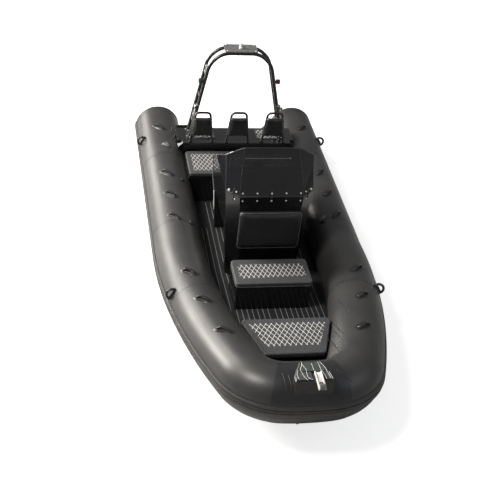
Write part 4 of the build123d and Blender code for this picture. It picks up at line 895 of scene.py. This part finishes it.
FRONT_X, RIM_Z, SHIELD_TOP = 2.390, 1.110, 1.510
LEAN, SIDE_LEAN = 0.225 / (SHIELD_TOP - RIM_Z), 0.49
screws = Shape()
for k in range(-2, 3):
    for z in (RIM_Z - 0.035, RIM_Z + 0.035):
        x = FRONT_X + 0.005 - max(0, z - RIM_Z) * LEAN
        screw(screws, (x, k * 0.138, z), (1, 0, LEAN if z > RIM_Z else 0))
for side in (1, -1):
    away = Vector((cos(pi / 4), side * sin(pi / 4), 0))
    for z in (RIM_Z - 0.035, RIM_Z + 0.035):
        foot = Vector((FRONT_X - 0.036, side * 0.341, z)) + away * (
            0.006 - max(0, z - RIM_Z) * SIDE_LEAN)
        screw(screws, foot, away + Z * (SIDE_LEAN if z > RIM_Z else 0))
    screw(screws, Vector((FRONT_X - 0.094, side * 0.399, RIM_Z + 0.026)) - away * 0.006,
          away + Z * SIDE_LEAN, 0.011, 0.006)
screws.make("screen_screws", "bright", slot="steel")

mirrored = lambda path: path + [(x, -y, z) for x, y, z in reversed(path)]
trim, folds = Shape(), Shape()
edge = [(1.403, 0.3955, 0.800), (1.403, 0.4075, 0.950), (1.425, 0.409, 0.970),
        (2.105, 0.4135, 1.404), (2.122, 0.410, 1.418), (2.158, 0.275, 1.500),
        (2.163, 0.255, 1.508)]
trim.pipe(mirrored(edge), 0.0052, 8)
trim.make("screen_edge", "gloss", slot="frame", sharp=60)
for side in (1, -1):
    folds.pipe([(2.388, side * 0.3035, 1.112), (2.1655, side * 0.2615, 1.505)], 0.004, 8)
    folds.pipe([(2.274, side * 0.4185, 1.112), (2.121, side * 0.4145, 1.412)], 0.004, 8)
    folds.pipe([(2.388, side * 0.3035, 1.105), (2.388, side * 0.236, 0.30)], 0.004, 8)
folds.make("screen_folds", "frame", sharp=60)
bead, rail = Shape(), Shape()
BEAD_Z = 1.428
at_z = lambda z, y: (FRONT_X + 0.004 - (z - RIM_Z) * LEAN, y, z)
bead.pipe([at_z(BEAD_Z, y) for y in (-0.262, -0.1, 0.0, 0.10, 0.167)], 0.0032, 8)
bead.lathe(at_z(BEAD_Z, 0.170), (1, 0, LEAN),
           [(0.009, -0.004), (0.009, 0.003), (0.006, 0.006), (0.0, 0.007)], 16)
for side in (1, -1):
    bead.pipe([(1.350, side * 0.397, 0.790), (1.350, side * 0.390, 0.690),
               (1.460, side * 0.382, 0.580)], 0.005, 10)
    # The lower corner trims are pale as a painted highlight on the console's aft corners
    rail.pipe([(1.460, side * 0.382, 0.576), (1.460, side * 0.3735, 0.46),
               (1.460, side * 0.3652, 0.345)], 0.0065, 12)
bead.make("screen_bead", "edge", slot="frame", sharp=60)
rail.make("console_corner_trims_painted_highlight", "bright", slot="steel")

rim = Shape()
rim_path = [(1.425, 0.3985, 0.797), (1.958, 0.4195, 1.112), (2.273, 0.4195, 1.113),
            (2.387, 0.3045, 1.113)]
rim.pipe([(x, y * 0.985, z + 0.002) for x, y, z in mirrored(rim_path)], 0.006, 8)
rim.make("console_rim_gasket", "grip", sharp=60)

# Instruments and switches on the dash
dash_u = Vector((0.54, 0, 0.32)).normalized()
dash_n = Vector((-0.32, 0, 0.54)).normalized()
dash_at = lambda along, y, rise=0.0: Vector((1.42, y, 0.79)) + dash_u * along + dash_n * rise
GAUGE_ROW = 0.49
GAUGES = ((-0.20, 0.032), (-0.10, 0.043), (0.02, 0.043), (0.12, 0.032), (0.21, 0.032))
dash_axes = (dash_u, Y, dash_n)
panel = Shape()
panel.block(dash_at(GAUGE_ROW, 0.0, 0.003), (0.17, 0.56, 0.006), dash_axes)
panel.block(dash_at(0.20, 0.235, 0.004), (0.20, 0.12, 0.008), dash_axes)
panel.make("dash_panels", "moulding", bevel=0.001)
gauges, faces, ticks, keys = Shape(), Shape(), Shape(), Shape()
mark = lambda at, way, size: ticks.block(at, size, (way, dash_n.cross(way), dash_n), cut=0.0002)
for y, r in GAUGES:
    c = dash_at(GAUGE_ROW, y, 0.006)
    gauges.lathe(c, dash_n, [(r + 0.006, 0), (r + 0.006, 0.006), (r + 0.002, 0.010),
                             (r - 0.001, 0.010), (r - 0.002, 0.005), (0, 0.005)], 32)
    faces.lathe(c, dash_n, [(r - 0.003, 0.004), (r - 0.003, 0.0062), (0.0, 0.0062)], 32)
    for i in range(11):
        a = radians(-135 + 27 * i)
        way = dash_u * cos(a) + Y * sin(a)
        mark(c + way * (r - 0.009) + dash_n * 0.0066, way, (0.006, 0.0014, 0.0008))
    way = dash_u * cos(1.1) + Y * sin(1.1)
    mark(c + way * r * 0.3 + dash_n * 0.0074, way, (r * 0.9, 0.0018, 0.0008))
for i in range(3):
    for j in range(2):
        keys.block(dash_at(0.14 + 0.06 * i, 0.21 + 0.05 * j, 0.011), (0.036, 0.024, 0.010),
                   (dash_u + dash_n * 0.12, Y, dash_n - dash_u * 0.12), cut=0.003)
gauges.make("gauge_bezels", "steel")
faces.make("gauge_faces", "dark", slot="lamp")
ticks.make("gauge_marks", "dial", slot="lamp")
keys.make("switches", "grip")

# Steering wheel on its shaft
hub = Vector((1.65406, 0, 1.01065))
axis = Vector((-0.5098, 0, 0.8603)).normalized()
side_u = Y.cross(axis) * -1
wheel, grips = Shape(), Shape()
on_rim = lambda a: hub + axis * 0.024 + (side_u * cos(a) + Y * sin(a)) * 0.175
wheel.pipe([on_rim(a) for a in turn(96)], 0.0125, 12, around=True, up=axis)
wheel.lathe(hub, axis, [(0.030, 0), (0.043, 0.004), (0.045, 0.012), (0.045, 0.020), (0.040, 0.030),
                        (0.030, 0.036), (0.028, 0.039), (0.0, 0.040)], 36)
for k in range(3):
    a = radians(90 + 120 * k)
    way = Y * cos(a) + side_u * sin(a)
    across = axis.cross(way)
    rings = []
    for t in np.linspace(0, 1, 9):
        r = 0.036 + t * 0.132
        w = 0.017 - 0.006 * sin(pi * t)
        lift = 0.028 - 0.006 * sin(pi * t / 2)
        rings.append([hub + way * r + across * w * u + axis * (lift + 0.004 * v) for u, v in (
            (1, 0), (0.7, 0.9), (-0.7, 0.9), (-1, 0), (-0.7, -0.9), (0.7, -0.9))])
    wheel.loft(rings)
for a in turn(48):
    if abs((a * 3 / (2 * pi) + 0.25) % 1 - 0.5) < 0.32:
        way = Y * cos(a) - side_u * sin(a)
        grips.lathe(on_rim(a) - way * 0.0035, way,
                    [(0.0122, 0), (0.0142, 0.0015), (0.0142, 0.0055), (0.0122, 0.007)], 14, up=axis)
wheel.make("wheel", "grip", body="steering_wheel", stands=("steering_wheel",), sharp=40)
grips.make("wheel_grips", "piping", body="steering_wheel", slot="grip")

# Engine control: a box with a raked lever and its grip
lever_base = dash_at(0.0, -0.25) + dash_u * 0.31386
pivot, knob = lever_base + dash_n * 0.030, lever_base + dash_n * 0.168 + dash_u * 0.012
control, boss = Shape(), Shape()
control.block(lever_base + dash_n * 0.0225, (0.088, 0.084, 0.045), dash_axes, cut=0.008)
control.lathe(pivot - Y * 0.038, Y,
              [(0.028, 0), (0.030, 0.004), (0.030, 0.072), (0.028, 0.076)], 28)
rings = []
for t in np.linspace(0, 1, 10):
    c = lever_base + dash_n * (0.040 + 0.115 * t) + dash_u * (0.012 * t * t)
    rings.append([c + Y * (0.012 - 0.003 * t) * cos(q) + dash_u * 0.008 * sin(q) for q in turn(12)])
control.loft(rings)
control.lathe(knob - Y * 0.028, Y, [(0.006, 0), (0.0115, 0.004), (0.013, 0.018), (0.0125, 0.040),
                                    (0.010, 0.052), (0.004, 0.056)], 20)
control.make("engine_control", "grip", stands=("throttle",), slot="lamp", sharp=30)
boss.lathe(pivot - Y * 0.0425, Y, [(0.018, 0), (0.020, 0.002), (0.020, 0.083), (0.018, 0.085)], 28)
boss.make("control_boss", "steel")

# -------- roll bar
FOOT_X, FOOT_Y, FOOT_Z, HOOP_GAP = 0.385, 0.52, 0.583, 0.15
RAKE, LEG_IN, LEG_UP = 0.12 / 0.977, 0.18, 0.837  # each leg comes in by LEG_IN over LEG_UP


def leg(z, side, hoop=0):
    """The middle of the front (0) or rear (1) hoop's tube at height z."""
    up = z - FOOT_Z
    return Vector((FOOT_X - RAKE * up - HOOP_GAP * hoop,
                   side * (FOOT_Y - LEG_IN * up / LEG_UP), z))


bars, gusset, bolts, hinge_parts = Shape(), Shape(), Shape(), Shape()
for side in (1, -1):
    for z in (0.75, 1.04):
        bars.pipe([leg(z, side, 0), leg(z, side, 1)], 0.0125, 14)
    for z0, z1 in ((1.27, 1.36), (0.78, 0.86)):
        corners = [leg(z0, side, 0), leg(z0, side, 1), leg(z1, side, 1), leg(z1, side, 0)]
        middle = (corners[0] + corners[1] + corners[2] + corners[3]) / 4
        out = Vector((0, side, 0.2)).normalized() * 0.003
        gusset.loft([[p + out * face for p in corners] for face in (-1, 1)])
        for p in corners:
            screw(bolts, p.lerp(middle, 0.32) + out, out, 0.007)
    for hoop in (0, 1):
        foot = leg(0.591, side, hoop)
        for dx, dy in ((0.027, 0.0), (-0.027, 0.0), (0, 0.027), (0, -0.027)):
            screw(bolts, (foot.x + dx, foot.y + dy, 0.5905), Z, 0.0065, 0.005, 6)
    latch_at = leg(0.93, side, 0)
    hinge_parts.block(latch_at + Vector((0.0, side * 0.012, 0)), (0.05, 0.045, 0.07), cut=0.006)
    hinge_parts.lathe(latch_at + Vector((-0.03, side * 0.03, 0.01)), X,
                      [(0.004, 0), (0.008, 0.002), (0.008, 0.058), (0.004, 0.06)], 16)
    hinge_parts.block(latch_at + Vector((0.0, side * 0.048, -0.01)), (0.012, 0.03, 0.03), cut=0.003)
hinge_parts.make("arch_hinges", "steel", slot="frame")
bars.make("arch_rungs", "frame")
gusset.make("arch_gussets", "plate", slot="frame")

plate_lo, plate_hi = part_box("arch_top_plate")
studs = Shape()
for i in range(10):
    for j in range(18):
        x = plate_lo.x + 0.018 + i * (plate_hi.x - plate_lo.x - 0.036) / 9
        y = plate_lo.y + 0.018 + j * (plate_hi.y - plate_lo.y - 0.036) / 17
        if (x - 0.19) ** 2 + y * y > 0.035 ** 2:
            way = Vector((1, 1 if (i + j) % 2 else -1, 0)).normalized()
            studs.block((x, y, plate_hi.z + 0.0006), (0.013, 0.0045, 0.0022),
                        (way, Z.cross(way), Z), cut=0.0008)
studs.make("top_plate_studs", "plate")
for x, y in ((0.115, 0.155), (0.265, 0.155), (0.115, -0.155), (0.265, -0.155)):
    screw(bolts, (x, y, plate_hi.z), Z, 0.008, 0.005)

lamp_base, lamp_lens = Shape(), Shape()
lamp_at = Vector((0.19, 0, plate_hi.z))
for shape, z, profile in (
    (lamp_base, 0.0, [(0.022, 0), (0.022, 0.012), (0.017, 0.016), (0.017, 0.020), (0.0, 0.020)]),
    (lamp_base, 0.050, [(0.014, 0), (0.018, 0.002), (0.017, 0.006), (0.009, 0.0095), (0.0, 0.010)]),
    (lamp_lens, 0.019,
     [(0.016, 0), (0.017, 0.004), (0.0165, 0.016), (0.017, 0.028), (0.015, 0.032)]),
):
    shape.lathe(lamp_at + Z * z, Z, profile, 28)
lamp_base.make("masthead_base", "bright", slot="lens")
lamp_lens.make("masthead_lens", "lens", stands=("masthead_light",))

for side, label, glass in ((1, "port", "red"), (-1, "starboard", "green")):
    lo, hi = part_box("nav_light_" + label)
    c = (lo + hi) / 2
    body_shape, lens_shape = Shape(), Shape()
    body_shape.block(c - X * 0.004, (hi.x - lo.x - 0.008, hi.y - lo.y, hi.z - lo.z), cut=0.005)
    body_shape.block(c - Y * side * 0.026, (0.022, 0.044, 0.018), cut=0.002)
    body_shape.make("nav_housing_" + label, "frame", stands=("nav_light_" + label,), slot="lamp")
    lens_shape.lathe((hi.x - 0.009, c.y, c.z), X,
                     [(0.019, 0), (0.019, 0.004), (0.015, 0.0075), (0.006, 0.009), (0, 0.009)], 24)
    lens_shape.make("nav_lens_" + label, glass, slot="lens")

# Bolts at the backrests' feet
for k in (-1, 0, 1):
    for side in (-1, 1):
        screw(bolts, (0.4885, k * REST_PITCH + side * 0.122, 0.589), Z, 0.009, 0.007, 6)
bolts.make("bolts", "bright", slot="steel")

# Screws along the boxes' front faces
lid_screws = Shape()
for node, y_half in (("bench_box", 0.579), ("front_seat_box", 0.353), ("bow_locker_box", 0.30)):
    lo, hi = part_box(node)
    for k in range(-3, 4):
        z = 0.39 if node == "bench_box" else hi.z - 0.06
        screw(lid_screws, (hi.x, k * y_half * 0.3, z), X, 0.005, 0.002)
lid_screws.make("box_screws", "frame")

# -------- carried-over CAD nodes
for mat, soften, names in (
    ("hull", 0.0, "hull"), ("moulding", 0.003, "bench_lid front_seat_lid bow_locker_lid"),
    ("moulding", 0.004, "foredeck"), ("moulding", 0.006, "transom bench_box"),
    ("moulding", 0.008, "front_seat_box bow_locker_box"),
    ("moulding", 0.012, "bench_back aft_shelf console_body"),
    ("frame", 0.0, "backrest_frames arch_front_hoop arch_rear_hoop windshield_brackets"),
    ("frame", 0.0015, "arch_feet"), ("frame", 0.002, "helm_bearing"),
    ("screen", 0.0, "windshield"), ("plate", 0.0015, "arch_top_plate"),
    ("plate", 0.002, "bow_roller"), ("plate", 0.003, "motor_pad"), ("steel", 0.0, "stern_eyes"),
    ("bright", 0.001, "roller_bracket"), ("dark", 0.005, "bow_step"), ("brass", 0.002, "bow_eye"),
):
    for node in names.split():
        dress(node, mat, soften)


# -------- floor and light
def floor_material(grey, rough, glow):
    """A pale floor that keeps the shadow, and glows a little to the camera's rays alone."""
    m = bpy.data.materials.new("floor")
    m.use_nodes = True
    tree = m.node_tree
    shader = tree.nodes["Principled BSDF"]
    for key, value in (("Base Color", (grey, grey, grey, 1)), ("Roughness", rough),
                       ("Specular IOR Level", 0.0)):
        shader.inputs[key].default_value = value
    dark, lit = (add_node(tree, "Emission", Strength=v).outputs[0] for v in (0.0, glow))
    to_camera = add_node(tree, "LightPath").outputs["Is Camera Ray"]
    mix = add_node(tree, "MixShader", (to_camera, 0), (dark, 1), (lit, 2))
    both = add_node(tree, "AddShader", (shader.outputs[0], 0), (mix.outputs[0], 1))
    tree.links.new(both.outputs[0], tree.nodes["Material Output"].inputs["Surface"])
    return m


REACH = 60
mesh = bpy.data.meshes.new("floor")
mesh.from_pydata([(-REACH, -REACH, 0), (REACH, -REACH, 0), (REACH, REACH, 0), (-REACH, REACH, 0)],
                 [], [(0, 1, 2, 3)])
floor = add_object("floor", mesh)
mesh.materials.append(floor_material(0.55, 0.9, 0.74))

world = bpy.data.worlds.new("world")
scene.world = world
world.use_nodes = True
# White to the camera, and a dimmer light on the boat
WORLD_LIGHT = 0.30
tree = world.node_tree
background = tree.nodes["Background"]
background.inputs["Color"].default_value = (1, 1, 1, 1)
strength = add_node(tree, "Math", (add_node(tree, "LightPath").outputs["Is Camera Ray"], 0))
strength.operation = "MULTIPLY_ADD"
strength.inputs[1].default_value, strength.inputs[2].default_value = 1 - WORLD_LIGHT, WORLD_LIGHT
tree.links.new(strength.outputs[0], background.inputs["Strength"])

WARM = (1, 0.955, 0.88)


def lamp(name, place, aim, size, power, color=WARM):
    data = bpy.data.lights.new(name, "AREA")
    data.shape, data.size, data.energy, data.color = "DISK", size, power, color
    o = add_object(name, data)
    o.location = place
    o.rotation_euler = (Vector(aim) - Vector(place)).to_track_quat("-Z", "Y").to_euler()


lamp("key", (-6.3, -6.3, 2.7), (2, -0.8, 0.3), 3.3, 470)
lamp("shoulder", (-1.3, -7.6, 3.9), (3.8, -0.75, 0.5), 2.3, 1150)
lamp("side", (4.6, -5.0, 8.4), (4.2, -0.5, 0.5), 2.4, 640)
lamp("sky", (-1.5, -4.5, 5.5), (3.2, 0.5, 0.5), 2.4, 330, (1, 0.96, 0.9))
lamp("fill", (6, 7, 6), (2, 0, 0.3), 5, 80, (0.88, 0.94, 1))

scene.view_settings.view_transform = "Standard"
